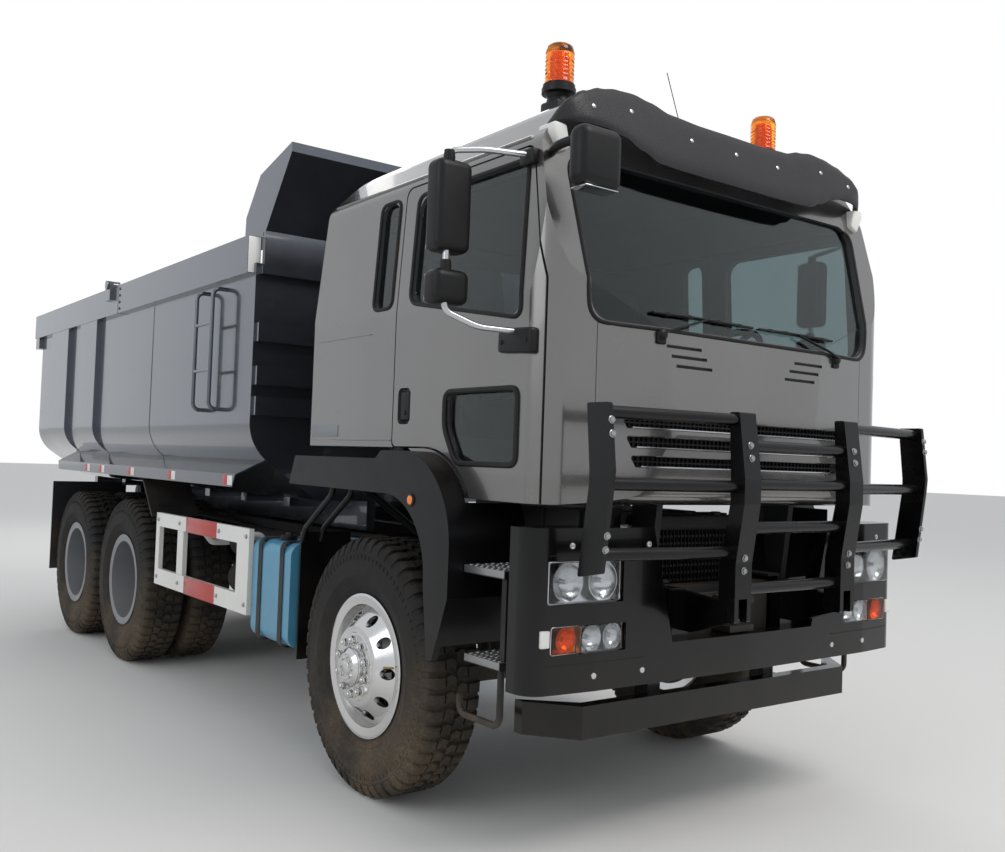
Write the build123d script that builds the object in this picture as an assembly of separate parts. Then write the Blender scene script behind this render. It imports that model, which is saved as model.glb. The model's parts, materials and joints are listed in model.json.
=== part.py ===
from build123d import *
import math
import os

# A three-axle dump truck with a front guard.
# Millimetres. X runs forward, Y to the truck's left, Z up from the ground.
# The origin is on the ground under the middle of the truck.

# Driving dimensions
front_axle_x = 2497.5
wheelbase = 3690.0
drive_axle_gap = 1350.0
running_gap = 6.0
pin_gap = 0.3
seat_gap = 0.3

tyre_radius = 613.0
tyre_width = 314.0
tread_width = 272.0
shoulder_drop = 22.0
rim_radius = 343.0
rim_seat_radius = 306.0
rim_width = 262.0
rim_wall = 14.0
front_tyre_y = 1031.0
rear_tyre_y = 1060.0
twin_spacing = 350.0
kingpin_y = 880.0
hub_radius = 170.0
hand_hole_radius = 27.0
hand_hole_circle = 232.0
hand_hole_count = 10

frame_half_width = 425.0
frame_top = 1125.0
frame_depth = 290.0
frame_flange = 85.0
frame_bottom = frame_top - frame_depth
frame_wall = 12.0
frame_front = front_axle_x + 1205.0
frame_rear = front_axle_x - 5950.0

cab_half_width = 1137.0
cab_upper_half_width = cab_half_width - 41.0
cab_front = front_axle_x + 1345.0
cab_rear = front_axle_x - 757.0
cab_floor_z = 1455.0
cab_arch_z = 1668.0
cab_waist_z = 2195.0
cab_roof_z = 3165.0
cab_drip_z = 2945.0
cab_wall = 55.0
cab_pivot_x = front_axle_x + 1160.0
cab_pivot_z = 1090.0
cab_pin_radius = 22.0
door_front = front_axle_x + 1232.0
door_rear = front_axle_x + 150.0
door_gap = 8.0
glass_thickness = 6.0

bed_front = front_axle_x - 1350.0
bed_rear = front_axle_x - 6505.0
bed_wall = 10.0
bed_floor_z = 1335.0
bed_curve_z = 1800.0
bed_curve_radius = 280.0
rail_half_width = 1257.0
bed_half_width = rail_half_width - 42.0
rail_top = 2905.0
rail_bottom = rail_top - 223.0
rail_width = 82.0
rail_rear = front_axle_x - 6660.0
rail_front = front_axle_x - 1383.0
lip_bottom = 1410.0
lip_top = 1487.0
bed_hinge_x = front_axle_x - 5850.0
bed_hinge_z = 1218.0
bed_pin_radius = 32.0
bed_beam_y = 365.0
bed_beam_width = 60.0

hoist_base_x = front_axle_x - 1010.0
hoist_base_z = 965.0
hoist_eye_x = front_axle_x - 1050.0
hoist_eye_z = 2420.0

guard_pin_x = front_axle_x + 1575.0
guard_pin_z = 1035.0
fender_half_width = 1255.0

mid_axle_x = front_axle_x - wheelbase
rear_axle_x = mid_axle_x - drive_axle_gap
sides = {"right": -1, "left": 1}


# Shapes that the pieces share
def block(x0, x1, y0, y1, z0, z1):
    lows = (min(x0, x1), min(y0, y1), min(z0, z1))
    size = (abs(x1 - x0), abs(y1 - y0), abs(z1 - z0))
    return Pos(*lows) * Box(*size, align=(Align.MIN, Align.MIN, Align.MIN))


# A closed outline from rows of u, v and an optional corner radius
def outline(rows):
    corners = [Vector(row[0], row[1]) for row in rows]
    edges = []
    leave_from = []
    for index, row in enumerate(rows):
        corner = corners[index]
        radius = row[2] if len(row) > 2 else 0
        if radius == 0:
            leave_from.append((corner, corner))
            continue
        back = (corners[index - 1] - corner).normalized()
        ahead = (corners[(index + 1) % len(rows)] - corner).normalized()
        half = math.radians(back.get_angle(ahead)) / 2
        start = corner + back * (radius / math.tan(half))
        end = corner + ahead * (radius / math.tan(half))
        middle = corner + (back + ahead).normalized() * (radius / math.sin(half) - radius)
        edges.append(Edge.make_three_point_arc(start, middle, end))
        leave_from.append((start, end))
    for index in range(len(rows)):
        start = leave_from[index - 1][1]
        end = leave_from[index][0]
        if (end - start).length > 0.001:
            edges.append(Edge.make_line(start, end))
    return Face(Wire(edges))


# An outline in X and Z, extruded along Y
def side_prism(rows, y0, y1):
    face = Pos(0, y0, 0) * (Plane.XZ * outline(rows))
    return extrude(face, amount=y1 - y0, dir=(0, 1, 0))


# An outline in Y and Z, extruded along X
def front_prism(rows, x0, x1):
    face = Pos(x0, 0, 0) * (Plane.YZ * outline(rows))
    return extrude(face, amount=x1 - x0, dir=(1, 0, 0))


# An outline in X and Y, extruded along Z
def top_prism(rows, z0, z1):
    face = Pos(0, 0, z0) * outline(rows)
    return extrude(face, amount=z1 - z0, dir=(0, 0, 1))


# A round bar from one point to another
def rod(start, end, radius):
    start, end = Vector(*start), Vector(*end)
    plane = Plane(origin=start, z_dir=end - start)
    return extrude(plane * Circle(radius), amount=(end - start).length)


# A round bar bent at each middle point
def bent_rod(points, radius, bend):
    path = FilletPolyline(*points, radius=bend)
    plane = Plane(origin=path @ 0, z_dir=path % 0)
    return sweep(plane * Circle(radius), path=path)


# A body turned about an axis along Y, from rows of radius and offset
def turned(rows, x, y, z, side=1):
    face = Plane.XY * outline(rows)
    solid = revolve(face, axis=Axis.Y)
    if side < 0:
        solid = mirror(solid, about=Plane.XZ)
    return Pos(x, y, z) * solid


def mirrored(shape):
    return mirror(shape, about=Plane.XZ)


def both_sides(shape):
    return Compound([*shape.solids(), *mirrored(shape).solids()])


def joined(pieces):
    whole = pieces[0]
    for piece in pieces[1:]:
        whole = whole + piece
    return whole


def group(pieces):
    solids = [solid for piece in pieces for solid in piece.solids()]
    return solids[0] if len(solids) == 1 else Compound(solids)


parts = {}


# Wheels
def tyre(x, y):
    half = tyre_width / 2
    tread = tread_width / 2
    rows = [
        (rim_seat_radius, -rim_width / 2 + rim_wall),
        (rim_seat_radius, rim_width / 2 - rim_wall),
        (rim_radius + 30, rim_width / 2),
        (rim_radius + 110, half),
        (tyre_radius - shoulder_drop, tread),
        (tyre_radius, tread - 20),
        (tyre_radius, -tread + 20),
        (tyre_radius - shoulder_drop, -tread),
        (rim_radius + 110, -half),
        (rim_radius + 30, -rim_width / 2),
    ]
    return turned(rows, x, y, tyre_radius)


def hand_holes(depth, circle, radius):
    holes = []
    for step in range(hand_hole_count):
        angle = 2 * math.pi * step / hand_hole_count
        at = (circle * math.cos(angle), circle * math.sin(angle))
        holes.append(rod((at[0], -depth, at[1]), (at[0], depth, at[1]), radius))
    return holes


# The rim's channel: seats between two flanges, in radius and offset
def rim_rows():
    edge = rim_width / 2
    seat = rim_seat_radius
    return [
        (rim_radius, edge), (seat, edge - rim_wall), (seat, -edge + rim_wall), (rim_radius, -edge),
        (rim_radius - 12, -edge - 2), (seat - rim_wall, -edge + 4), (seat - rim_wall, edge - 4),
        (rim_radius - 12, edge + 2),
    ]


front_dish = 182.0
hub_nose = 205.0
disc_wall = 14.0


def front_wheel(side):
    channel = turned(rim_rows(), 0, 0, 0)
    inner = rim_seat_radius - rim_wall + 1
    rows = [
        (0, hub_nose - 30), (hub_radius, hub_nose - 30), (hub_radius + 20, front_dish - 10),
        (inner, 75), (inner, 75 - disc_wall - 8), (hub_radius + 8, front_dish - 32),
        (hub_radius - 12, hub_nose - 30 - disc_wall * 2), (0, hub_nose - 30 - disc_wall * 2),
    ]
    disc = turned(rows, 0, 0, 0)
    for hole in hand_holes(400, hand_hole_circle, hand_hole_radius):
        disc = disc - hole
    nose = turned([(0, 100), (88, 100), (88, hub_nose), (70, hub_nose + 18), (0, hub_nose + 18)], 0, 0, 0)
    wheel = channel + disc + nose
    if side < 0:
        wheel = mirrored(wheel)
    return Pos(front_axle_x, side * front_tyre_y, tyre_radius) * wheel


def rear_twin(x, side):
    inner = rim_seat_radius - rim_wall + 1
    outer_rim = Pos(0, twin_spacing / 2, 0) * turned(rim_rows(), 0, 0, 0)
    inner_rim = Pos(0, -twin_spacing / 2, 0) * turned(rim_rows(), 0, 0, 0)
    rows = [
        (0, 20), (hub_radius + 10, 20), (inner, 95), (inner, 75), (hub_radius + 14, 0), (0, 0),
    ]
    disc = turned(rows, 0, 0, 0)
    for hole in hand_holes(400, hand_hole_circle, hand_hole_radius):
        disc = disc - hole
    back = mirrored(disc)
    hub_rows = [(0, -165), (120, -165), (120, 10), (112, 110), (96, 142), (0, 142)]
    hub = turned(hub_rows, 0, 0, 0)
    wheel = outer_rim + inner_rim + disc + back + hub
    if side < 0:
        wheel = mirrored(wheel)
    middle = rear_tyre_y - twin_spacing / 2
    return Pos(x, side * middle, tyre_radius) * wheel


for side_name, side in sides.items():
    parts[f"front_wheel_{side_name}"] = front_wheel(side)
    parts[f"front_tyre_{side_name}"] = tyre(front_axle_x, side * front_tyre_y)
    for row_name, axle_x in (("middle", mid_axle_x), ("rear", rear_axle_x)):
        parts[f"{row_name}_wheel_{side_name}"] = rear_twin(axle_x, side)
        twins = [tyre(axle_x, side * (rear_tyre_y - step * twin_spacing)) for step in (0, 1)]
        parts[f"{row_name}_tyres_{side_name}"] = group(twins)


# Knuckles, tie rod and front axle
steer_arm_x = 230.0
steer_arm_y = kingpin_y - 60.0
tie_rod_z = tyre_radius - 120.0
kingpin_radius = 24.0
beam_tip_radius = 43.0


def knuckle(side):
    pin = rod((0, 0, -105), (0, 0, 105), kingpin_radius - pin_gap)
    fork = block(-45, 45, -44, 60, 62, 104) + block(-45, 45, -44, 60, -104, -62)
    spindle = rod((0, 50, 0), (0, front_tyre_y - kingpin_y + 100 - seat_gap, 0), 48)
    plate = block(-70, 70, 50, 78, -104, 104)
    arm = block(-steer_arm_x - 25, -20, steer_arm_y - kingpin_y - 22, steer_arm_y - kingpin_y + 22, -104,
        -80)
    body = pin + fork + spindle + plate + arm
    if side < 0:
        body = mirrored(body)
    return Pos(front_axle_x, side * kingpin_y, tyre_radius) * body


for side_name, side in sides.items():
    parts[f"knuckle_{side_name}"] = knuckle(side)

tie_ends = []
for side in (-1, 1):
    tie_x = front_axle_x - steer_arm_x
    tie_y = side * steer_arm_y
    tie_ends.append(rod((tie_x, tie_y, tie_rod_z - 22), (tie_x, tie_y, tyre_radius - 104 - pin_gap), 16))
tie_bar = rod((front_axle_x - steer_arm_x, -steer_arm_y - 16, tie_rod_z - 22),
              (front_axle_x - steer_arm_x, steer_arm_y + 16, tie_rod_z - 22), 20)
parts["tie_rod"] = joined([tie_bar, *tie_ends])

drop = 95.0
beam_rows = [
    (-kingpin_y - 40, 55, 12), (-kingpin_y + 60, 55, 20), (-560, -40, 60), (560, -40, 60),
    (kingpin_y - 60, 55, 20),
    (kingpin_y + 40, 55, 12), (kingpin_y + 40, -55, 12), (kingpin_y - 70, -55, 20), (600, -40 - drop, 60),
    (-600, -40 - drop, 60), (-kingpin_y + 70, -55, 20), (-kingpin_y - 40, -55, 12),
]
beam = Pos(front_axle_x, 0, tyre_radius) * front_prism(beam_rows, -45, 45)
for side in (-1, 1):
    bore = rod((front_axle_x, side * kingpin_y, tyre_radius - 200),
        (front_axle_x, side * kingpin_y, tyre_radius + 200),
               kingpin_radius)
    tip = block(front_axle_x - 60, front_axle_x + 60, side * kingpin_y, side * (kingpin_y + 60),
                tyre_radius - 80, tyre_radius + 80)
    tip = tip - rod((front_axle_x, side * kingpin_y, tyre_radius - 90),
                    (front_axle_x, side * kingpin_y, tyre_radius + 90), beam_tip_radius)
    beam = beam - bore - tip
front_beam = beam


# Drive axles
nose_reach = 330.0
nose_z = tyre_radius + 40


def drive_axle(x):
    tube = rod((x, -rear_tyre_y + 430, tyre_radius), (x, rear_tyre_y - 430, tyre_radius), 75)
    ends = [rod((x, side * 470, tyre_radius), (x, side * (rear_tyre_y - twin_spacing / 2 - 165 - seat_gap),
        tyre_radius), 95)
            for side in (-1, 1)]
    case = Pos(x, 0, tyre_radius) * Rot(90, 0, 0) * Cylinder(210, 190)
    nose = rod((x, 0, nose_z), (x + nose_reach, 0, nose_z), 95)
    return joined([tube, *ends, case, nose])


parts["axles"] = group([front_beam, drive_axle(mid_axle_x), drive_axle(rear_axle_x)])


# Chassis frame
def rail(side):
    outer = frame_half_width
    inner = frame_half_width - frame_flange
    bottom = frame_top - frame_depth
    web = block(frame_rear, frame_front, outer - frame_wall, outer, bottom, frame_top)
    top = block(frame_rear, frame_front, inner, outer, frame_top - frame_wall, frame_top)
    low = block(frame_rear, frame_front, inner, outer, bottom, bottom + frame_wall)
    body = web + top + low
    return mirrored(body) if side < 0 else body


cross_rows = [
    # x from the front axle, depth, how far below the frame's top
    (1160, 90, 20), (815, 69, 60), (-1010, 160, 100), (-1900, 80, 40),
    (-2900, 80, 40), (-4365, 150, 20), (-5500, 80, 30), (-5900, 90, 20),
]
frame = rail(1) + rail(-1)
cross_span = frame_half_width - frame_wall
for offset, width, down in cross_rows:
    x = front_axle_x + offset
    frame = frame + block(x - width / 2, x + width / 2, -cross_span, cross_span,
        frame_top - frame_depth + 40,
                          frame_top - down - frame_wall)
hinge_plate = side_prism(
    [(bed_hinge_x - 110, frame_top - 60), (bed_hinge_x - 75, bed_hinge_z + 20, 40),
        (bed_hinge_x, bed_hinge_z + 62, 30),
     (bed_hinge_x + 75, bed_hinge_z + 20, 40), (bed_hinge_x + 110, frame_top - 60)], 0, 24)
half_slot = bed_beam_width / 2 + running_gap
for side in (-1, 1):
    for place in (bed_beam_y - half_slot - 24, bed_beam_y + half_slot):
        plate = Pos(0, place, 0) * hinge_plate
        frame = frame + (mirrored(plate) if side < 0 else plate)
pin_span = bed_beam_y + half_slot + 30
frame = frame + rod((bed_hinge_x, -pin_span, bed_hinge_z), (bed_hinge_x, pin_span, bed_hinge_z),
    bed_pin_radius)
hoist_pin_radius = 30.0
for side in (-1, 1):
    ear = side_prism(
        [(hoist_base_x - 70, frame_top - frame_depth + 60), (hoist_base_x - 50, hoist_base_z + 60, 20),
         (hoist_base_x + 50, hoist_base_z + 60, 20),
         (hoist_base_x + 70, frame_top - frame_depth + 60)], 128, 152)
    frame = frame + (mirrored(ear) if side < 0 else ear)
frame = frame - block(hoist_base_x - 115, hoist_base_x + 115, -128, 128, hoist_base_z - 125, frame_top + 10)
frame = frame + rod((hoist_base_x, -150, hoist_base_z), (hoist_base_x, 150, hoist_base_z), hoist_pin_radius)
for side in (-1, 1):
    frame = frame + rod((cab_pivot_x, side * (frame_half_width - frame_wall), cab_pivot_z),
                        (cab_pivot_x, side * (frame_half_width + 60), cab_pivot_z), cab_pin_radius)
parts["chassis_frame"] = frame


# Springs
spring_y = 385.0
spring_width = 80.0


def spring_pack(x, length, z, rise, leaves):
    pieces = []
    for leaf in range(leaves):
        reach = length / 2 * (1 - 0.11 * leaf)
        low = z - leaf * 15
        lift = rise * reach / (length / 2)
        rows = [(x - reach, low + lift), (x, low), (x + reach, low + lift), (x + reach, low + lift - 15),
                (x, low - 15), (x - reach, low + lift - 15)]
        pieces.append(side_prism(rows, spring_y - spring_width / 2, spring_y + spring_width / 2))
    return pieces


front_spring_top = tyre_radius + 30.0
front_pack = spring_pack(front_axle_x, 1500, front_spring_top + 60, 110, 5)
front_eye = block(front_axle_x + 690, front_axle_x + 750, spring_y - 40, spring_y + 40, 760,
    frame_bottom - seat_gap)
rear_eye = block(front_axle_x - 750, front_axle_x - 690, spring_y - 40, spring_y + 40, 760,
    frame_bottom - seat_gap)
seat_block = block(front_axle_x - 75, front_axle_x + 75, spring_y - 45, spring_y + 45,
                   tyre_radius - 40 + seat_gap, front_spring_top + 10)
front_springs = both_sides(joined([*front_pack, front_eye, rear_eye, seat_block]))

bogie_x = (mid_axle_x + rear_axle_x) / 2
rear_pack_top = frame_bottom - 12
rear_pack = spring_pack(bogie_x, drive_axle_gap + 80, rear_pack_top, -100, 6)
saddle = block(bogie_x - 110, bogie_x + 110, spring_y - 50, spring_y + 50, tyre_radius + 20,
    rear_pack_top - 80)
hanger_y = frame_half_width + seat_gap
hanger = block(bogie_x - 150, bogie_x + 150, hanger_y, hanger_y + 50, tyre_radius - 60, frame_top - 80)
trunnion = rod((bogie_x, spring_y - 40, tyre_radius + 60), (bogie_x, hanger_y + 40, tyre_radius + 60), 60)
pads = [block(x - 60, x + 60, spring_y - 45, spring_y + 45, tyre_radius + 75 + seat_gap,
    rear_pack_top - 104)
        for x in (mid_axle_x, rear_axle_x)]
bogie = both_sides(joined([*rear_pack, saddle, trunnion, *pads, hanger]))
parts["leaf_springs"] = group([front_springs, bogie])


# Engine, gearbox, radiator and drive line
engine_front = front_axle_x + 780.0
gearbox_rear = front_axle_x - 905.0
parts["engine_block"] = group([
    joined([
        block(front_axle_x - 330, engine_front, -290, 290, 760, 1400),
        block(gearbox_rear, front_axle_x - 330, -210, 210, 740, 1130),
    ]),
    block(front_axle_x + 850 + seat_gap, front_axle_x + 950, -330, 330, 820, 1400),
])
shaft_z = 790.0
shaft_radius = 45.0
shaft_front = gearbox_rear - seat_gap
shaft_rear = mid_axle_x + nose_reach + seat_gap
front_shaft = rod((shaft_front + 30, 0, shaft_z + 2), (shaft_rear - 30, 0, nose_z - 2), shaft_radius)
front_shaft = front_shaft & block(shaft_rear, shaft_front, -100, 100, 500, 1000)
rear_shaft = rod((mid_axle_x - 211, 0, nose_z), (rear_axle_x + nose_reach + seat_gap, 0, nose_z),
    shaft_radius)
parts["propeller_shafts"] = group([front_shaft, rear_shaft])


# Tanks, boxes and the silencer on the frame's outer sides
def tank(x0, x1, y0, y1, z0, z1, corner):
    rows = [(y0, z0, corner), (y1, z0, corner), (y1, z1, corner), (y0, z1, corner)]
    return front_prism(rows, x0, x1)


tank_arm = frame_half_width + seat_gap
tank_right = joined([
    tank(front_axle_x - 1270, front_axle_x - 775, -1190, -560, 560, 1130, 70),
    block(front_axle_x - 1180, front_axle_x - 1120, -570, -tank_arm, 860, 960),
    block(front_axle_x - 930, front_axle_x - 870, -570, -tank_arm, 860, 960),
])
tank_left = joined([
    tank(front_axle_x - 2380, front_axle_x - 1490, 560, 1150, 560, 1100, 70),
    block(front_axle_x - 2200, front_axle_x - 2140, tank_arm, 570, 860, 960),
    block(front_axle_x - 1700, front_axle_x - 1640, tank_arm, 570, 860, 960),
])
parts["fuel_tanks"] = group([tank_right, tank_left])
parts["battery_box"] = block(front_axle_x - 2900, front_axle_x - 2490, tank_arm, 1100, 700, 1060)
air_tanks = []
for x, z in ((-1500, 760), (-1500, 1010)):
    air_tanks.append(rod((front_axle_x + x, -760, z), (front_axle_x + x - 900, -760, z), 115))
    for along in (-180, -720):
        air_tanks.append(block(front_axle_x + x + along - 20, front_axle_x + x + along + 20, -700,
            -tank_arm, z - 50, z + 50))
parts["air_tanks"] = joined([*air_tanks, block(front_axle_x - 2240, front_axle_x - 2200, -500, -tank_arm,
    760, 1060)])
parts["silencer"] = joined([
    tank(front_axle_x - 1200, front_axle_x - 770, 450, 1100, 600, 1050, 90),
    block(front_axle_x - 1010, front_axle_x - 950, tank_arm, 470, 860, 940),
])


# Side guards
def side_guard():
    x_front, x_rear = front_axle_x - 1290, front_axle_x - 2905
    y_out, y_in = 1212, 1182
    pieces = [
        block(x_rear, x_front, y_in, y_out, 1080, 1174),
        block(x_rear, x_front, y_in, y_out, 675, 785),
        block(x_rear, x_rear + 70, y_in, y_out, 675, 1174),
        block(x_front - 175, x_front, y_in, y_out, 675, 1174),
        block(front_axle_x - 2495, front_axle_x - 2385, y_in - 8, y_out - 8, 700, 1120),
    ]
    for x in (front_axle_x - 2440, front_axle_x - 1440):
        pieces.append(bent_rod([(x, y_in + 4, 1120), (x, 1080, 1120), (x, 980, 1000), (x, tank_arm, 1000)],
            24, 40))
    return joined(pieces)


parts["side_guards"] = both_sides(side_guard())


# Wheel arches over the front wheels
def fender():
    x = front_axle_x
    skin = side_prism([
        (x - 700, 1462), (x - 640, 1612, 20), (x + 200, 1612), (x + 250, 1650, 30), (x + 832, 1650, 400),
        (x + 832, 1040),
        (x + 730, 770), (x + 690, 770), (x + 645, 1080), (x + 645, 1455, 350), (x + 200, 1455),
    ], 850, fender_half_width)
    void = side_prism([
        (x - 760, 1300), (x - 760, 1442), (x - 690, 1590, 20), (x + 210, 1590), (x + 255, 1628, 20),
        (x + 806, 1628, 380),
        (x + 806, 1040), (x + 720, 700), (x + 500, 700), (x + 500, 1300),
    ], 800, fender_half_width - 30)
    shell = skin - void
    stay = bent_rod([(x - 400, 1150, 1600), (x - 400, 1150, 1420), (x - 690, 1150, 1225),
        (x - 727, 1150, 1150)], 16, 60)
    inner_stay = bent_rod([(x - 400, 1040, 1600), (x - 400, 1040, 1420), (x - 690, 1040, 1225),
        (x - 727, 1040, 1150)],
                          16, 60)
    flap = block(x - 734, x - 720, 860, 1160, 515, 1200)
    carrier = rod((x - 400, 1150, 1580), (x - 400, frame_half_width, 1080), 20)
    front_carrier = rod((x + 785, 890, 1390), (x + 785, frame_half_width, 1040), 20)
    whole = joined([shell, stay, inner_stay, flap, carrier, front_carrier])
    cab_clearance = side_prism([
        (x + 258, 1660), (x + 690, 1436), (x + 1400, 1436), (x + 1400, 1800), (x + 258, 1800),
    ], 0, cab_half_width + 8)
    return whole - cab_clearance - block(x - 1200, x + 1200, 0, tank_arm, 0, 2000)


parts["fenders"] = both_sides(fender())


# Steps in front of the wheels
def steps():
    x = front_axle_x
    pieces = [
        block(x + 833, x + 1115, 860, 1175, 1150, 1180), block(x + 870, x + 1115, 860, 1185, 790, 820),
        block(x + 1080, x + 1110, 860, 1160, 800, 1170), block(x + 880, x + 910, 860, 890, 800, 1170),
        bent_rod([(x + 1080, 1150, 800), (x + 1080, 1150, 560), (x + 800, 1150, 560), (x + 800, 1150, 640)],
            14, 45),
        block(x + 870, x + 1090, 860, 890, 940, 1000),
        rod((x + 900, 880, 970), (x + 900, tank_arm, 970), 25),
        rod((x + 1060, 880, 970), (x + 1060, tank_arm, 970), 25),
    ]
    return joined(pieces)


parts["steps"] = both_sides(steps())


# Bumper, lamps and lower beam
bumper_face = front_axle_x + 1350.0
bumper_back = front_axle_x + 1188.0
bumper_half_width = 1210.0


def lamp_pocket(y0, y1, z0, z1):
    return block(bumper_face - 60, bumper_face + 60, y0, y1, z0, z1)


lamp_rows = [
    # inner y, outer y, lower z, upper z
    (755, 1130, 1075, 1240), (735, 1110, 880, 990),
]
plan = [
    (bumper_back, -bumper_half_width), (bumper_face - 30, -bumper_half_width, 90), (bumper_face, -900, 200),
    (bumper_face + 20, 0, 3000), (bumper_face, 900, 200), (bumper_face - 30, bumper_half_width, 90),
    (bumper_back, bumper_half_width),
]
bumper = top_prism(plan, 730, 1368)
bumper = bumper - block(bumper_back - 10, bumper_face - 70, -1150, 1150, 760, 1330)
bumper = bumper - front_prism([(-470, 890), (-600, 1400), (600, 1400), (470, 890)], bumper_back - 100,
    bumper_face + 100)
for y0, y1, z0, z1 in lamp_rows:
    for side in (-1, 1):
        bumper = bumper - lamp_pocket(side * y0, side * y1, z0, z1)
for side in (-1, 1):
    arm = block(frame_front + seat_gap, bumper_back + 100, side * 340, side * frame_half_width, 850, 1100)
    outer = block(frame_front + seat_gap, bumper_face - 60, side * 400, side * 560, 800, 1000)
    bumper = bumper + arm + outer
bumper = bumper + block(frame_front + seat_gap, bumper_face - 55, -560, 560, 740, 850)

lamps = []
for y0, y1, z0, z1 in lamp_rows:
    for side in (-1, 1):
        lamps.append(block(bumper_face - 60, bumper_face - 12, side * (y0 + 2), side * (y1 - 2), z0 + 2,
            z1 - 2))

beam_face = front_axle_x + 1262.0
low_plan = [
    (beam_face, -872), (beam_face, 872), (beam_face - 190, 1030), (beam_face - 240, 1030),
    (beam_face - 60, 830),
    (beam_face - 60, -830), (beam_face - 240, -1030), (beam_face - 190, -1030),
]
lower = top_prism(low_plan, 515, 648)
for side in (-1, 1):
    lower = lower + block(front_axle_x + 1100, beam_face - 50, side * 350, side * frame_half_width, 600,
        648)
    lower = lower + block(front_axle_x + 1100, bumper_back - 8, side * 350, side * frame_half_width, 600,
                          frame_bottom - seat_gap)
parts["lower_beam"] = lower

tow_pin_radius = 25.0
tow_face = frame_front + seat_gap
tow_pin_x = tow_face + 90
tow_gap_low, tow_gap_top = 923.0, 1018.0
parts["tow_coupling"] = joined([
    block(tow_face, tow_face + 25, -300, 300, 850 + seat_gap, 1060),
    block(tow_face, tow_face + 130, -80, 80, tow_gap_top, tow_gap_top + 32),
    block(tow_face, tow_face + 130, -80, 80, tow_gap_low - 28, tow_gap_low),
    rod((tow_pin_x, 0, tow_gap_low - 20), (tow_pin_x, 0, tow_gap_top + 60), tow_pin_radius),
])


# Front guard, folding forward on its pins
guard_bar_radius = 25.0
inner_post = [
    # x from the front axle, z
    (1577, 1850), (1628, 1850), (1665, 1580), (1665, 1480), (1628, 1240), (1628, 1000), (1540, 1000),
    (1545, 1240),
    (1592, 1480), (1592, 1580),
]
outer_post = [
    (1440, 1852), (1560, 1852), (1590, 1600), (1585, 1540), (1545, 1215), (1415, 1190), (1465, 1540),
    (1465, 1600),
]
guard_inner_y, guard_inner_width = 354.0, 100.0
guard_outer_y, guard_outer_width = 1050.0, 20.0


def post(rows, middle, width):
    shifted = [(front_axle_x + x, z, 8) for x, z in rows]
    return side_prism(shifted, middle - width / 2, middle + width / 2)


guard_pieces = [both_sides(post(inner_post, guard_inner_y, guard_inner_width)),
                both_sides(post(outer_post, guard_outer_y, guard_outer_width))]
outer_bar_rows = [
    # x at the inner post, x at the outer post, z
    (1608, 1515, 1818), (1622, 1522, 1548), (1588, 1488, 1280),
]
middle_bar_rows = [
    # x, z
    (1612, 1715), (1625, 1560), (1605, 1380), (1585, 1130),
]
for x0, x1, z in outer_bar_rows:
    guard_pieces.append(both_sides(rod((front_axle_x + x0, guard_inner_y, z),
        (front_axle_x + x1, guard_outer_y, z),
                                       guard_bar_radius)))
for x, z in middle_bar_rows:
    guard_pieces.append(rod((front_axle_x + x, -guard_inner_y, z), (front_axle_x + x, guard_inner_y, z),
        guard_bar_radius))
guard = joined([solid for piece in guard_pieces for solid in piece.solids()])
guard_pin_radius = 14.0
guard_slot_y = guard_inner_y
guard = guard - both_sides(block(guard_pin_x - 60, guard_pin_x + 80, guard_slot_y - 26, guard_slot_y + 26,
    960, guard_pin_z + 60))
guard = guard - rod((guard_pin_x, -600, guard_pin_z), (guard_pin_x, 600, guard_pin_z),
    guard_pin_radius + pin_gap)
parts["front_guard"] = guard

guard_lug = side_prism(
    [(bumper_face - 60, guard_pin_z - 110), (bumper_face - 60, guard_pin_z + 60, 10),
        (guard_pin_x + 30, guard_pin_z + 30, 28),
     (guard_pin_x + 30, guard_pin_z - 30, 28),
     (bumper_face + 20, guard_pin_z - 110)], guard_slot_y - 20, guard_slot_y + 20)
guard_bolt = rod((guard_pin_x, guard_slot_y - 62, guard_pin_z),
    (guard_pin_x, guard_slot_y + 62, guard_pin_z), guard_pin_radius)
guard_base = block(frame_front + seat_gap, bumper_face - 50, guard_slot_y - 40, guard_slot_y + 60, 850,
    guard_pin_z + 60)
parts["bumper"] = joined([bumper, *both_sides(guard_lug + guard_bolt + guard_base).solids()])


# Cab shell
def cab_body(inset):
    front, rear = cab_front - inset, cab_rear + inset
    low, high = cab_floor_z + inset, cab_roof_z - inset
    wide, narrow = cab_half_width - inset, cab_upper_half_width - inset
    drip = cab_drip_z - 40
    arch = cab_arch_z + inset
    side_view = side_prism([
        (front - 20, low, 60), (front, cab_floor_z + 300), (front - 5, cab_waist_z), (front - 178, 2890),
        (front - 235, high - 40, 120), (front - 700, high + 14, 600), (rear + 160, high - 60, 250),
        (rear + 90, drip - inset, 120), (rear, cab_arch_z + 120), (rear, arch),
        (front_axle_x + 290 + inset, arch, 60), (front_axle_x + 700 + inset, low, 240),
    ], -wide - 60, wide + 60)
    end_view = front_prism([
        (-wide, low - 10), (-wide, cab_waist_z + 105, 400), (-narrow, cab_drip_z - 15, 90),
        (-narrow + 190, high + 5, 260), (narrow - 190, high + 5, 260), (narrow, cab_drip_z - 15, 90),
        (wide, cab_waist_z + 105, 400), (wide, low - 10),
    ], rear - 60, front + 60)
    plan_view = top_prism([
        (rear, -wide, 60), (front - 66, -wide - 2, 150), (front, -480, 700), (front, 480, 700),
        (front - 66, wide + 2, 150), (rear, wide, 60),
    ], low - 60, high + 80)
    return side_view & end_view & plan_view


def across(rows):
    return side_prism(rows, -cab_half_width - 100, cab_half_width + 100)


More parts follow.
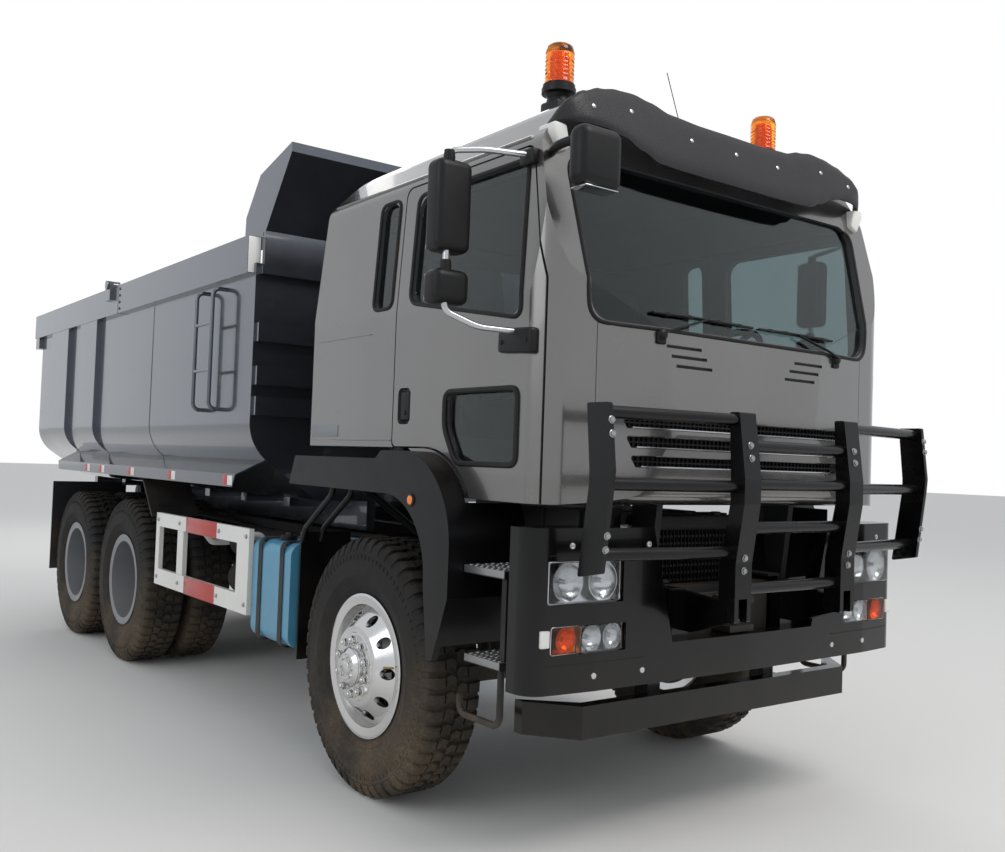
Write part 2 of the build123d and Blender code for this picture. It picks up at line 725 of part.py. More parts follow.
screen_low, screen_high = 2200.0, 2895.0
screen_half_low, screen_half_high = 925.0, 965.0
screen_zone = front_prism([
    (-screen_half_low, screen_low, 90), (-screen_half_high, screen_high, 90),
    (screen_half_high, screen_high, 90),
    (screen_half_low, screen_low, 90),
], front_axle_x + 900, cab_front + 100)
rear_window_zone = front_prism(
    [(-330, 2250, 60), (-330, 2780, 60), (330, 2780, 60), (330, 2250, 60)], cab_rear - 100, cab_rear + 300)
quarter_zone = across([
    (front_axle_x - 75, 2345, 45), (front_axle_x - 75, 2860, 60), (front_axle_x + 88, 2860, 60),
    (front_axle_x + 88, 2345, 45),
])


# The door's outline, grown by the gap round it for the opening: it passes over the fender when it swings
door_arch_radius = 408.0


def door_outline(grow):
    front, rear = door_front + grow, door_rear - grow
    top, arch = cab_drip_z - 40 + grow, cab_arch_z + 4 - grow
    return [
        (front, cab_floor_z - 60), (front, 2350, 60), (front - 120, top, 60), (rear, top, 50),
        (rear, arch, 30),
        (front_axle_x + 846 - grow, arch, door_arch_radius + grow),
        (front_axle_x + 846 - grow, cab_floor_z - 60),
    ]


window_zone = across([
    (front_axle_x + 268, 2350, 60), (front_axle_x + 268, 2848, 90), (front_axle_x + 1085, 2848, 50),
    (front_axle_x + 1105, 2205, 50),
])
kerb_zone = across([
    (front_axle_x + 690, 1612, 60), (front_axle_x + 600, 1760, 60), (front_axle_x + 600, 1905, 40),
    (front_axle_x + 1100, 1905, 40), (front_axle_x + 1100, 1612, 40),
])
handle_zone = across([
    (front_axle_x + 190, 1775, 30), (front_axle_x + 190, 1945, 30), (front_axle_x + 300, 1945, 30),
    (front_axle_x + 300, 1775, 30),
])
front_seam = 893.0
front_panel_top = 2186.0
seam_gap = 3.0


def front_panel_zone(grow):
    half = front_seam + grow
    return block(cab_front - 90, cab_front + 60, -half, half, cab_floor_z + 90 - grow,
        front_panel_top + grow)


outer_cab = cab_body(0)
shell = outer_cab - cab_body(cab_wall)
pane = cab_body(20) - cab_body(20 + glass_thickness)
door_depth = 95.0
door_zone = both_sides(side_prism(door_outline(0), cab_half_width - door_depth, cab_half_width + 40))
door_opening = both_sides(side_prism(door_outline(door_gap), cab_half_width - door_depth - 30,
    cab_half_width + 60))
doors = shell & door_zone
cab_shell = shell - door_opening - screen_zone - rear_window_zone - quarter_zone - front_panel_zone(seam_gap)
leg_y = frame_half_width + running_gap
pivot_leg = side_prism([
    (cab_pivot_x - 70, cab_floor_z + 40), (cab_pivot_x - 40, cab_pivot_z - 40, 36),
    (cab_pivot_x + 40, cab_pivot_z - 40, 36), (cab_pivot_x + 90, cab_floor_z + 40),
], leg_y, leg_y + 36)
pivot_leg = pivot_leg - rod((cab_pivot_x, 300, cab_pivot_z), (cab_pivot_x, 600, cab_pivot_z),
    cab_pin_radius + pin_gap)
parts["cab_shell"] = cab_shell + both_sides(pivot_leg)

grille_slots = [
    # half width at the top, half width at the bottom, lower z, upper z
    (760, 730, 1770, 1822), (740, 705, 1690, 1742), (715, 680, 1610, 1662),
]
front_panel = shell & front_panel_zone(0)
for half_top, half_low, z0, z1 in grille_slots:
    slot = front_prism([(-half_low, z0, 12), (-half_top, z1, 12), (half_top, z1, 12), (half_low, z0, 12)],
                       cab_front - 60, cab_front + 60)
    front_panel = front_panel - (slot - cab_body(30))
louvre_rows = [
    # inner y, outer y, z
    (320, 535, 2118), (285, 505, 2078), (250, 475, 2038),
]
for y0, y1, z in louvre_rows:
    front_panel = front_panel - (both_sides(block(cab_front - 60, cab_front + 60, y0, y1, z,
        z + 14)) - cab_body(12))
parts["front_panel"] = front_panel
parts["cab_glass"] = group([pane & screen_zone, pane & rear_window_zone, pane & quarter_zone])

for side_name, side in sides.items():
    zone = side_prism(door_outline(0), side * cab_half_width - door_depth,
        side * cab_half_width + door_depth)
    recess = (handle_zone & zone) - cab_body(30)
    parts[f"door_{side_name}"] = (doors & zone) - window_zone - kerb_zone - recess
    parts[f"door_glass_{side_name}"] = group([pane & window_zone & zone, pane & kerb_zone & zone])

# Sun visor across the top of the windscreen, with a raised lobe at each end
visor_face = front_prism([
    (-1052, 2996), (-985, 3119, 60), (-812, 3196, 90), (-602, 3222, 120), (-400, 3166, 120),
    (400, 3166, 120),
    (602, 3222, 120), (812, 3196, 90), (985, 3119, 60), (1052, 2996), (812, 3022), (640, 3000, 40),
    (560, 2910, 20),
    (-560, 2910, 20), (-640, 3000, 40), (-812, 3022),
], front_axle_x + 900, cab_front + 100)
visor_thickness = 30.0
visor_plan = top_prism([
    (front_axle_x + 1150, -1075, 80), (front_axle_x + 1262, -900, 300), (front_axle_x + 1285, 0, 2500),
    (front_axle_x + 1262, 900, 300), (front_axle_x + 1150, 1075, 80), (front_axle_x + 1050, 1075),
    (front_axle_x + 1050, -1075),
], 2850, 3300)


def visor_lean(offset):
    return side_prism([
        (front_axle_x + 1290 - offset, 2880), (front_axle_x + 1180 - offset, 3240),
        (front_axle_x + 1000, 3240),
        (front_axle_x + 1000, 2880),
    ], -1200, 1200)


visor_block = visor_face & visor_plan & visor_lean(0)
visor_hollow = Pos(-visor_thickness, 0, 0) * (visor_plan & visor_lean(0))
visor = visor_block - visor_hollow
for y in (-690, 0, 690):
    visor = visor + block(front_axle_x + 1060, front_axle_x + 1225, y - 12, y + 12, 3040, 3110)
parts["sun_visor"] = visor - outer_cab

# Warning beacons on brackets
beacon_x = front_axle_x + 799.0
beacon_y = 719.0
beacon_base_z = 3290.0
beacon_radius = 67.0
lens_height = 184.0
bases = []
lenses = []
for side in (-1, 1):
    at = (beacon_x, side * beacon_y)
    foot = block(at[0] - 60, at[0] + 60, at[1] - 60, at[1] + 60, 3080, beacon_base_z - 40) - outer_cab
    neck = rod((*at, beacon_base_z - 40), (*at, beacon_base_z), 55)
    plate = rod((*at, beacon_base_z), (*at, beacon_base_z + 42), beacon_radius + 12)
    bases.append(joined([foot, neck, plate]))
    dome_rows = [(0, 0), (beacon_radius, 0), (beacon_radius - 4, lens_height, 26), (0, lens_height)]
    dome = revolve(Plane.XZ * outline(dome_rows), axis=Axis.Z)
    lenses.append(Pos(*at, beacon_base_z + 42) * dome)
parts["beacon_lenses"] = group(lenses)

# Mirrors: a tube from the door's top corner down to its waist carries two heads
mirror_reach = cab_half_width + 363.0
mirror_root_x = front_axle_x + 1105.0
head_rows = [
    # lower z, upper z
    (2432, 2800), (2226, 2365),
]


# The elbow is where the tube stands upright, the other values are the heads' limits
def mirror_set(elbow_x, elbow_y, x0, x1, y0, y1):
    middle_x = (mirror_root_x + elbow_x) / 2
    middle_y = (cab_half_width - 5 + elbow_y) / 2 + 20
    tube = bent_rod([(mirror_root_x, cab_half_width - 25, 2862), (middle_x, middle_y, 2855),
        (elbow_x, elbow_y, 2835),
                     (elbow_x, elbow_y, 2200), (middle_x, middle_y, 2145),
                     (mirror_root_x, cab_half_width - 9, 2140)],
                    13, 30)
    heads = [top_prism([(x0, y0, 30), (x1, y0, 40), (x1, y1, 40), (x0, y1, 30)], z0, z1) for z0,
        z1 in head_rows]
    bracket = block(mirror_root_x - 110, mirror_root_x + 110, cab_half_width - 17, cab_half_width + 28,
        2055, 2160)
    top_mount = block(mirror_root_x - 45, mirror_root_x + 45, cab_half_width - 57, cab_half_width - 2, 2820,
        2885)
    return joined([tube, *heads, bracket, top_mount]) - outer_cab


parts["mirror_right"] = mirrored(mirror_set(
    mirror_root_x - 95, mirror_reach - 60, mirror_root_x - 175, mirror_root_x - 65, mirror_reach - 165,
    mirror_reach))
parts["mirror_left"] = mirror_set(mirror_root_x - 320, cab_half_width + 55, mirror_root_x - 400,
    mirror_root_x - 240,
                                  cab_half_width + 13, cab_half_width + 108)
front_arm = bent_rod([(front_axle_x + 1130, -1040, 2868), (front_axle_x + 1260, -1100, 2875),
                      (front_axle_x + 1400, -1020, 2890)], 20, 60)
front_head = top_prism([
    (front_axle_x + 1340, -1130, 40), (front_axle_x + 1450, -1090, 50), (front_axle_x + 1450, -930, 50),
    (front_axle_x + 1340, -900, 40),
], 2670, 2930)
front_mirror = joined([front_arm, front_head]) - outer_cab

# Wipers, aerial and the lamps' trim on the cab's front
wiper_rows = [
    # pivot y, blade's inner y, blade's outer y
    (-560, -600, 40), (650, 90, 640),
]
wipers = []
for pivot_y, y0, y1 in wiper_rows:
    knob = block(cab_front - 30, cab_front + 26, pivot_y - 24, pivot_y + 24, 2135, 2205)
    arm = rod((cab_front + 10, pivot_y, 2190), (cab_front - 6, (y0 + y1) / 2, 2262), 8)
    blade = block(cab_front - 16, cab_front + 6, y0, y1, 2256, 2272)
    wipers.append(joined([knob, arm, blade]) - outer_cab)
aerial = rod((front_axle_x + 930, -10, 3140), (front_axle_x + 880, -110, 3530), 4) - outer_cab
parts["cab_fittings"] = group([*bases, front_mirror, *wipers, aerial])

# Cab inside
inside_half = cab_half_width - cab_wall - 25
dash = across([
    (front_axle_x + 830, 1900, 40), (front_axle_x + 880, 2130, 60), (front_axle_x + 1050, 2185, 60),
    (cab_front - 110, 2150), (cab_front - 110, 1860),
]) & block(0, 5000, -inside_half, inside_half, 1500, 2400) & cab_body(cab_wall)
seat_y = 520.0
seat_x = front_axle_x + 80.0
seat_floor = cab_arch_z + cab_wall
seat_frames = []
seat_cushions = []
for side_name, side in sides.items():
    y = side * seat_y
    foot = block(seat_x - 180, seat_x + 180, y - 170, y + 170, seat_floor, seat_floor + 200)
    pan = block(seat_x - 250, seat_x + 270, y - 240, y + 240, seat_floor + 200, seat_floor + 232)
    frame_back = side_prism([(seat_x - 250, seat_floor + 210), (seat_x - 390, seat_floor + 900),
        (seat_x - 360, seat_floor + 905),
                             (seat_x - 215, seat_floor + 232)], y - 200, y + 200)
    seat_frames.append(joined([foot, pan, frame_back]))
    cushion = block(seat_x - 200, seat_x + 270, y - 250, y + 250, seat_floor + 232, seat_floor + 350)
    back = side_prism([(seat_x - 214, seat_floor + 240, 20), (seat_x - 350, seat_floor + 930, 30),
        (seat_x - 230, seat_floor + 950, 40),
                       (seat_x - 100, seat_floor + 356, 30), (seat_x - 100, seat_floor + 350.5),
                       (seat_x - 201, seat_floor + 350.5)],
                      y - 245, y + 245)
    seat_cushions.append(group([cushion, back]) - seat_frames[-1])
parts["seat_frames"] = group(seat_frames)
parts["seat_cushions"] = group(seat_cushions)
column_low = Vector(front_axle_x + 850, seat_y, 1960)
column_axis = Vector(-0.5, 0, 0.866)
column_length = 230.0
column_top = column_low + column_axis * column_length
parts["dashboard"] = dash + rod(column_low - column_axis * 60, column_top, 32)
wheel_plane = Plane(origin=column_top + column_axis * seat_gap, z_dir=column_axis)
steering_radius = 225.0
rim = wheel_plane * Pos(0, 0, 60) * Torus(steering_radius, 16)
boss = extrude(wheel_plane * Circle(45), amount=60)
spokes = [wheel_plane * Rot(0, 0, turn_angle) * Pos(steering_radius / 2, 0, 50) * Box(steering_radius, 40,
    14)
          for turn_angle in (0, 90, 180)]
parts["steering_wheel"] = joined([boss, rim, *spokes])


# Load bed: a sheet bent to a trough, with its front wall
def bed_section(inset):
    wide = bed_half_width - inset
    bend = bed_curve_z - 146 + 0.52 * inset
    floor = bed_half_width - 455 - 0.32 * inset
    low = bed_floor_z + inset
    top = rail_bottom + 60 + 200 * min(inset, 1)
    return [(-wide, top), (-wide, bend, bed_curve_radius - inset), (-floor, low, 60), (floor, low, 60),
            (wide, bend, bed_curve_radius - inset), (wide, top)]


trough = front_prism(bed_section(0), bed_rear, bed_front) - front_prism(bed_section(bed_wall),
    bed_rear - 10, bed_front - bed_wall)
trough = trough + (block(bed_front - bed_wall, bed_front, -rail_half_width + rail_width,
    rail_half_width - rail_width,
                         rail_bottom, rail_top))
recess_half = 150.0
recess_top = 2290.0
recess_depth = 330.0


def hoist_recess(grow):
    return side_prism([
        (bed_front + 60 + grow, bed_floor_z - 60 - grow),
        (bed_front - recess_depth - grow, bed_floor_z - 60 - grow),
        (bed_front - recess_depth - grow, bed_floor_z + 60), (bed_front + 60 + grow, recess_top + 4 * grow),
    ], -recess_half - grow, recess_half + grow)


recess_wall = (hoist_recess(bed_wall) - hoist_recess(0)) & block(
    bed_front - 800, bed_front, -400, 400, bed_floor_z, 2500)
parts["bed_shell"] = (trough - hoist_recess(0)) + recess_wall

bearer_rows = [-1900, -2600, -3300, -4000, -4700, -5400, -6300]
beam_low = frame_top + running_gap
half_beam = bed_beam_width / 2
beam = block(bed_hinge_x, bed_front - 20, bed_beam_y - half_beam, bed_beam_y + half_beam, beam_low + 15,
    bed_floor_z)
lug = rod((bed_hinge_x, bed_beam_y - half_beam, bed_hinge_z),
    (bed_hinge_x, bed_beam_y + half_beam, bed_hinge_z), 72)
lug = lug + block(bed_hinge_x - 70, bed_hinge_x + 70, bed_beam_y - half_beam, bed_beam_y + half_beam,
    bed_hinge_z, bed_floor_z)
tail_beam = block(front_axle_x - 6345, bed_hinge_x, bed_beam_y - half_beam, bed_beam_y + half_beam, 1290,
    bed_floor_z)
beam = beam + lug + tail_beam
bed_frame = both_sides(beam)
bed_frame = joined(bed_frame.solids())
for offset in bearer_rows:
    x = front_axle_x + offset
    bed_frame = bed_frame + block(x - 45, x + 45, -700, 700, bed_floor_z - 60, bed_floor_z)
bed_frame = bed_frame - rod((bed_hinge_x, -600, bed_hinge_z), (bed_hinge_x, 600, bed_hinge_z),
    bed_pin_radius + pin_gap)
parts["bed_frame"] = bed_frame

# Rails along the top of the walls, their front ends and the tailgate's hinge blocks
tail_hinge_x = front_axle_x - 6588.0
tail_hinge_z = rail_bottom - 60.0
tail_pin_radius = 18.0
rail_inner = rail_half_width - rail_width
rail_bar = block(rail_rear, rail_front, rail_inner, rail_half_width, rail_bottom, rail_top)
rail_bar = rail_bar - block(bed_rear, bed_front, bed_half_width - bed_wall, bed_half_width,
    rail_bottom - 10, rail_bottom + 60)
hinge_block = block(tail_hinge_x - 55, bed_rear - 6, rail_half_width - 77, rail_half_width - 7,
    tail_hinge_z - 45,
                    rail_bottom)
tail_pin = rod((tail_hinge_x, rail_half_width - 157, tail_hinge_z),
               (tail_hinge_x, rail_half_width - 75, tail_hinge_z), tail_pin_radius)
clasp = block(front_axle_x - 4190, front_axle_x - 4060, rail_half_width, rail_half_width + 28,
    rail_top - 105,
              rail_top + 40)
clasp_reach = rail_half_width + 40
clasp = clasp + rod((front_axle_x - 4125, rail_inner + 20, rail_top + 20),
                    (front_axle_x - 4125, clasp_reach, rail_top + 20), 36)
parts["bed_rails"] = both_sides(joined([rail_bar, hinge_block, tail_pin, clasp]))

# Front wall's box beam, ledge and ribs
front_face = bed_front
pieces = [
    block(front_face, front_axle_x - 1300, -rail_inner - 20, rail_inner + 20, rail_bottom - 6,
        rail_bottom + 40),
    block(front_face, front_axle_x - 1327, -rail_inner, rail_inner, rail_bottom + 40, rail_top + 30),
]
rib_levels = [2330, 2074, 1895]
for level in rib_levels:
    for side in (-1, 1):
        pieces.append(block(front_face, front_face + 45, side * (recess_half + 30),
            side * (bed_half_width - 12), level - 55, level + 55))
for side in (-1, 1):
    pieces.append(block(front_face, front_face + 45, side * (recess_half + 30), side * (recess_half + 110),
        1500, rail_bottom - 6))
for side in (-1, 1):
    pieces.append(side_prism([
        (front_face, hoist_eye_z - 200), (front_face, hoist_eye_z + 160),
        (hoist_eye_x + 60, hoist_eye_z + 60, 50),
        (hoist_eye_x + 60, hoist_eye_z - 60, 50),
    ], side * 80 - 14, side * 80 + 14))
pieces.append(block(front_face, front_face + 40, -recess_half - 30, recess_half + 30, hoist_eye_z - 120,
    hoist_eye_z + 120))

# Canopy leaning forward over the cab, with its side plates
canopy_low_x, canopy_high_x = front_axle_x - 1327.0, front_axle_x - 1010.0
canopy_top = rail_top + 490.0
sheet = side_prism([
    (canopy_low_x - 22, rail_top + 30), (canopy_high_x - 16, canopy_top - 45),
    (canopy_high_x - 16, canopy_top),
    (canopy_high_x, canopy_top), (canopy_high_x, canopy_top - 55), (canopy_low_x, rail_top + 30),
], -rail_inner, rail_inner)
side_plate = side_prism([
    (canopy_low_x - 8, rail_top + 25), (canopy_high_x - 8, canopy_top - 42),
    (canopy_high_x - 8, canopy_top),
    (canopy_low_x - 110, canopy_top - 105), (canopy_low_x - 300, rail_top + 155),
    (canopy_low_x - 310, rail_top - 75),
    (bed_front - bed_wall, rail_top - 75), (bed_front - bed_wall, rail_top + 25),
], rail_inner - 10, rail_inner)
parts["bed_front_wall"] = joined([pieces[1], pieces[0], *pieces[2:], sheet, side_plate,
    mirrored(side_plate)])

# Aprons over the rear wheels, ribs, ladder and straps on the bed's sides
apron_front, apron_rear = front_axle_x - 1500.0, front_axle_x - 5475.0
apron_root_y, apron_root_z = bed_half_width - 118.0, 1573.0
apron = front_prism([
    (apron_root_y, apron_root_z), (rail_half_width, lip_top), (rail_half_width, lip_bottom),
    (rail_half_width - 8, lip_bottom),
    (rail_half_width - 8, lip_top - 6), (apron_root_y - 10, apron_root_z - 12),
], apron_rear - 100, apron_front + 150)
apron = apron - side_prism([(apron_front, lip_bottom - 40), (apron_front + 150, apron_root_z + 60),
    (apron_front + 300, apron_root_z + 60),
                            (apron_front + 300, lip_bottom - 40)], 900, 1400)
apron = apron - side_prism([(apron_rear, lip_bottom - 40), (apron_rear - 90, apron_root_z + 60),
    (apron_rear - 300, apron_root_z + 60),
                            (apron_rear - 300, lip_bottom - 40)], 900, 1400)
outer_trough = front_prism(bed_section(0), bed_rear, bed_front)
apron = apron - outer_trough

rib_rows = [
    # rear edge and front edge, from the front axle
    (-5989, -5405), (-5010, -4505),
]
rib_shell = front_prism([
    (rail_half_width - 6, rail_bottom), (rail_half_width - 6, bed_curve_z - 120, 240),
    (bed_half_width - 165, 1535),
    (bed_half_width - 315, 1640), (bed_half_width - 315, rail_bottom),
], front_axle_x - 6400, front_axle_x - 4000)
ribs = []
for x0, x1 in rib_rows:
    band = block(front_axle_x + x0, front_axle_x + x1, bed_half_width - 315, bed_half_width + 185,
                 apron_root_z - 20, rail_bottom)
    ribs.append((rib_shell & band) - outer_trough)
side_skin = joined([apron, *ribs])

ladder_y = rail_half_width + 43.0
ladder_front, ladder_rear = front_axle_x - 1794.0, front_axle_x - 2063.0
ladder_pieces = []
for x in (ladder_front, ladder_rear):
    ladder_pieces.append(bent_rod([(x, bed_half_width, 2630), (x, ladder_y, 2630), (x, ladder_y, 1880),
        (x, bed_half_width, 1880)],
                                   13, 45))
for z in (2415, 2123):
    ladder_pieces.append(rod((ladder_rear, ladder_y, z), (ladder_front, ladder_y, z), 11))
parts["bed_sides"] = group([both_sides(side_skin), mirrored(joined(ladder_pieces))])

# Tailgate hung from the rails' tails
gate_front = bed_rear - running_gap
gate_thickness = 50.0
gate_half = bed_half_width - 45.0
gate_top = rail_bottom - 122.0
gate_bore_half = rail_half_width + 43.0
gate_low, gate_floor_half = bed_floor_z + 10, bed_half_width - 445.0
gate = front_prism([
    (-gate_half, gate_top, 20), (-gate_half, bed_curve_z - 110, 240), (-gate_floor_half, gate_low, 60),
    (gate_floor_half, gate_low, 60), (gate_half, bed_curve_z - 110, 240), (gate_half, gate_top, 20),
], gate_front - gate_thickness, gate_front)
gate_parts = [gate]
for share in (-0.77, -0.385, 0, 0.385, 0.77):
    low = gate_low + (125 if abs(share) > 0.5 else 25)
    y = share * gate_half
    gate_parts.append(block(gate_front - gate_thickness - 40, gate_front - gate_thickness, y - 40, y + 40,
        low,
                            gate_top - 20))
for side in (-1, 1):
    ear = side_prism([
        (gate_front, gate_top - 60), (gate_front, gate_top), (tail_hinge_x + 34, tail_hinge_z + 34, 30),
        (tail_hinge_x - 34, tail_hinge_z + 34, 30), (tail_hinge_x - 34, tail_hinge_z - 34, 30),
        (gate_front - gate_thickness - 10, gate_top - 60),
    ], side * (rail_half_width - 117) - 22, side * (rail_half_width - 117) + 22)
    gate_parts.append(ear)
gate = joined(gate_parts) - rod(
    (tail_hinge_x, -gate_bore_half, tail_hinge_z), (tail_hinge_x, gate_bore_half, tail_hinge_z),
    tail_pin_radius + pin_gap)
parts["tailgate"] = gate

# Telescopic hoist: a barrel pinned to the frame and four stages
hoist_top = Vector(hoist_eye_x, 0, hoist_eye_z)
hoist_foot = Vector(hoist_base_x, 0, hoist_base_z)
hoist_axis = (hoist_top - hoist_foot).normalized()
hoist_length = (hoist_top - hoist_foot).length
stage_count = 4
barrel_radius = 88.0
stage_step = 12.0
stage_wall = 5.0
barrel_start = 90.0
barrel_end = hoist_length - 190
hoist_plane = Plane(origin=hoist_foot, z_dir=hoist_axis)


stage_floor = 15.0


def hoist_tube(start, end, outer, inner):
    body = extrude(Pos(0, 0, start) * Circle(outer), amount=end - start)
    if inner > 0:
        body = body - extrude(Pos(0, 0, start + stage_floor) * Circle(inner), amount=end - start)
    return hoist_plane * body


barrel = hoist_tube(barrel_start, barrel_end, barrel_radius, barrel_radius - stage_wall)
barrel_eye = rod((hoist_base_x, -100, hoist_base_z), (hoist_base_x, 100, hoist_base_z), 55)
barrel_neck = hoist_plane * extrude(Pos(0, 0, 30) * Circle(50), amount=barrel_start - 25)
bore = rod((hoist_base_x, -200, hoist_base_z), (hoist_base_x, 200, hoist_base_z),
    hoist_pin_radius + pin_gap)
barrel_foot = (barrel_neck + barrel_eye) - bore
parts["hoist_barrel"] = barrel + barrel_foot
for stage in range(1, stage_count + 1):
    outer = barrel_radius - stage_wall - pin_gap - (stage - 1) * stage_step
    start = barrel_start + stage * (stage_floor + seat_gap)
    end = barrel_end + 18 * stage
    inner = outer - stage_step + pin_gap
    if stage < stage_count:
        parts[f"hoist_stage_{stage}"] = hoist_tube(start, end, outer, inner)
    else:
        tip = hoist_tube(start, hoist_length - 30, outer, 0)
        eye = rod((hoist_eye_x, -58, hoist_eye_z), (hoist_eye_x, 58, hoist_eye_z), 46)
        parts[f"hoist_stage_{stage}"] = tip + eye

# Rear beam with its lamps, and the guards round the rear wheels
rear_beam_x = front_axle_x - 5990.0
rear_beam = joined([
    block(rear_beam_x - 30, rear_beam_x + 30, -1130, 1130, 860, 960),
    block(rear_beam_x, frame_rear - seat_gap, -frame_half_width, frame_half_width, 850, 970),
])
tow_eye_z, tow_eye_radius, tow_eye_half = 800.0, 25.0, 30.0
tow_eye = side_prism([
    (rear_beam_x - 28, 875), (rear_beam_x + 28, 875), (rear_beam_x + 62, tow_eye_z, 30),
    (rear_beam_x + 30, tow_eye_z - 62, 30), (rear_beam_x - 30, tow_eye_z - 62, 30),
    (rear_beam_x - 62, tow_eye_z, 30),
], -tow_eye_half, tow_eye_half)
tow_eye = tow_eye - rod((rear_beam_x, -100, tow_eye_z), (rear_beam_x, 100, tow_eye_z), tow_eye_radius)
rear_beam = rear_beam + tow_eye
for side in (-1, 1):
    lamps.append(block(rear_beam_x - 80, rear_beam_x - 30, side * 720, side * 1110, 850, 970))
parts["lamps"] = group(lamps)
mudguards = []
rear_flap = block(front_axle_x - 5797, front_axle_x - 5783, 560, 1225, 480, 1290)
rear_arm = rod((front_axle_x - 5790, 1000, 1240), (front_axle_x - 5790, frame_half_width - 20, 1090), 18)
front_plate = side_prism([
    (front_axle_x - 3161, 1400), (front_axle_x - 2924, 1146), (front_axle_x - 2936, 1140),
    (front_axle_x - 3173, 1394),
], 900, 1240)
front_arm = rod((front_axle_x - 3000, 1180, 1224), (front_axle_x - 3000, frame_half_width - 20, 1060), 18)
guard_inside = block(front_axle_x - 6000, front_axle_x - 2000, 0, tank_arm, 900, 1300)
for pair in ((rear_flap, rear_arm), (front_plate, front_arm)):
    mudguards.append(joined(pair) - guard_inside)
parts["rear_beam"] = group([rear_beam, both_sides(group(mudguards))])

truck_y = (mirror_reach - clasp_reach) / 2
os.makedirs("parts", exist_ok=True)
for name, shape in parts.items():
    placed = group([Pos(0, truck_y, 0) * solid for solid in shape.solids()])
    export_step(placed, f"parts/{name}.step")
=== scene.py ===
import json
import math
from functools import partial

import bmesh
import bpy
from mathutils import Matrix, Vector
from mathutils.bvhtree import BVHTree

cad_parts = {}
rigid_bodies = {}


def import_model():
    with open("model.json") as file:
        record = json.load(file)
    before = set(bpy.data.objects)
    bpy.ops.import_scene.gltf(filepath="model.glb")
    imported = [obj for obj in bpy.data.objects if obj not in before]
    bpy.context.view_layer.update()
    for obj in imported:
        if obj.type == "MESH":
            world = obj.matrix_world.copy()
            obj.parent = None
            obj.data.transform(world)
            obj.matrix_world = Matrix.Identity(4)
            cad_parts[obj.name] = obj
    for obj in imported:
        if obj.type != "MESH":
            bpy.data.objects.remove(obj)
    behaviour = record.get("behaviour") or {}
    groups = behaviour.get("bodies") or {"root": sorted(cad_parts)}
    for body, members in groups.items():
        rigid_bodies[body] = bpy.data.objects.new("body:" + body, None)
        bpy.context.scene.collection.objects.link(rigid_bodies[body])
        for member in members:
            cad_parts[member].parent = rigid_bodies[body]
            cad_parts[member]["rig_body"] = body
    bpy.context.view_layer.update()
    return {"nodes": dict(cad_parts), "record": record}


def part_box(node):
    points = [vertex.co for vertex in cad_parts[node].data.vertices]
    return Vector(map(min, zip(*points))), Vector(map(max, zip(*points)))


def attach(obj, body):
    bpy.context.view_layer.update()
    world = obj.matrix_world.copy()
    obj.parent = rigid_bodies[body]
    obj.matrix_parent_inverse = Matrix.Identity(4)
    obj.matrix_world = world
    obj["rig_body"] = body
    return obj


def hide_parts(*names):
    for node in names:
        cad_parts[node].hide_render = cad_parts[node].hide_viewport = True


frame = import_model()
nodes = frame["nodes"]
print("loaded", len(nodes), "nodes")

# metres: x forward from the front axle, y to the truck's left from its middle, z up
axleX = sum(corner.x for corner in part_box("front_wheel_right")) / 2
middleY = sum(corner.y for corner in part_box("bed_shell")) / 2
truckOffset = Vector((axleX, middleY, 0))
sides = {"right": -1, "left": 1}


# camera, floor and light
camera = {
    "place": (4.3263, -3.6359, 1.6176),
    "yaw": 37.0466, "pitch": 1.9872, "roll": 1.9842,
    "lens": 36.494,
}


def makeCamera():
    yaw, pitch, roll = (math.radians(camera[key]) for key in ("yaw", "pitch", "roll"))
    ahead = Vector((-math.cos(yaw) * math.cos(pitch), math.sin(yaw) * math.cos(pitch), math.sin(pitch)))
    right = ahead.cross(Vector((0, 0, 1))).normalized()
    up = right.cross(ahead)
    rolledRight = right * math.cos(roll) + up * math.sin(roll)
    rolledUp = up * math.cos(roll) - right * math.sin(roll)
    turn = Matrix((rolledRight, rolledUp, -ahead)).transposed().to_4x4()
    data = bpy.data.cameras.new("viewCamera")
    data.sensor_width = 36
    data.lens = camera["lens"]
    data.clip_end = 400
    eye = bpy.data.objects.new("viewCamera", data)
    eye.matrix_world = Matrix.Translation(Vector(camera["place"]) + truckOffset) @ turn
    bpy.context.scene.collection.objects.link(eye)
    bpy.context.scene.camera = eye


makeCamera()

studio = {
    "floor": (0.74, 0.73, 0.71), "floorHalf": 90.0,
    "ambient": 0.74, "sky": (0.93, 0.96, 1.0),
    "lamps": [
        # name, place, aims at, size, power, colour
        ("keyLamp", (9.5, 1.5, 10.5), (0.0, 0.0, 1.2), 5.0, 540, (1.0, 0.97, 0.93)),
        ("fillLamp", (3.0, -12.5, 7.5), (-2.0, 0.0, 1.2), 8.0, 260, (0.95, 0.98, 1.0)),
        ("backLamp", (-12.0, 5.0, 8.5), (-2.0, 0.0, 1.5), 8.0, 240, (1.0, 0.98, 0.95)),
    ],
}


# node helpers
def feed(tree, socket, value):
    if isinstance(value, bpy.types.NodeSocket):
        tree.links.new(value, socket)
    elif socket.type == "RGBA":
        socket.default_value = (*value[:3], 1.0)
    else:
        socket.default_value = value


def addNode(tree, kind, inputs=None, **settings):
    node = tree.nodes.new(kind)
    for key, value in settings.items():
        setattr(node, key, value)
    for key, value in (inputs or {}).items():
        feed(tree, node.inputs[key], value)
    return node


def calc(tree, operation, first, second=0.0, clamp=False):
    node = addNode(tree, "ShaderNodeMath", {0: first, 1: second}, operation=operation, use_clamp=clamp)
    return node.outputs[0]


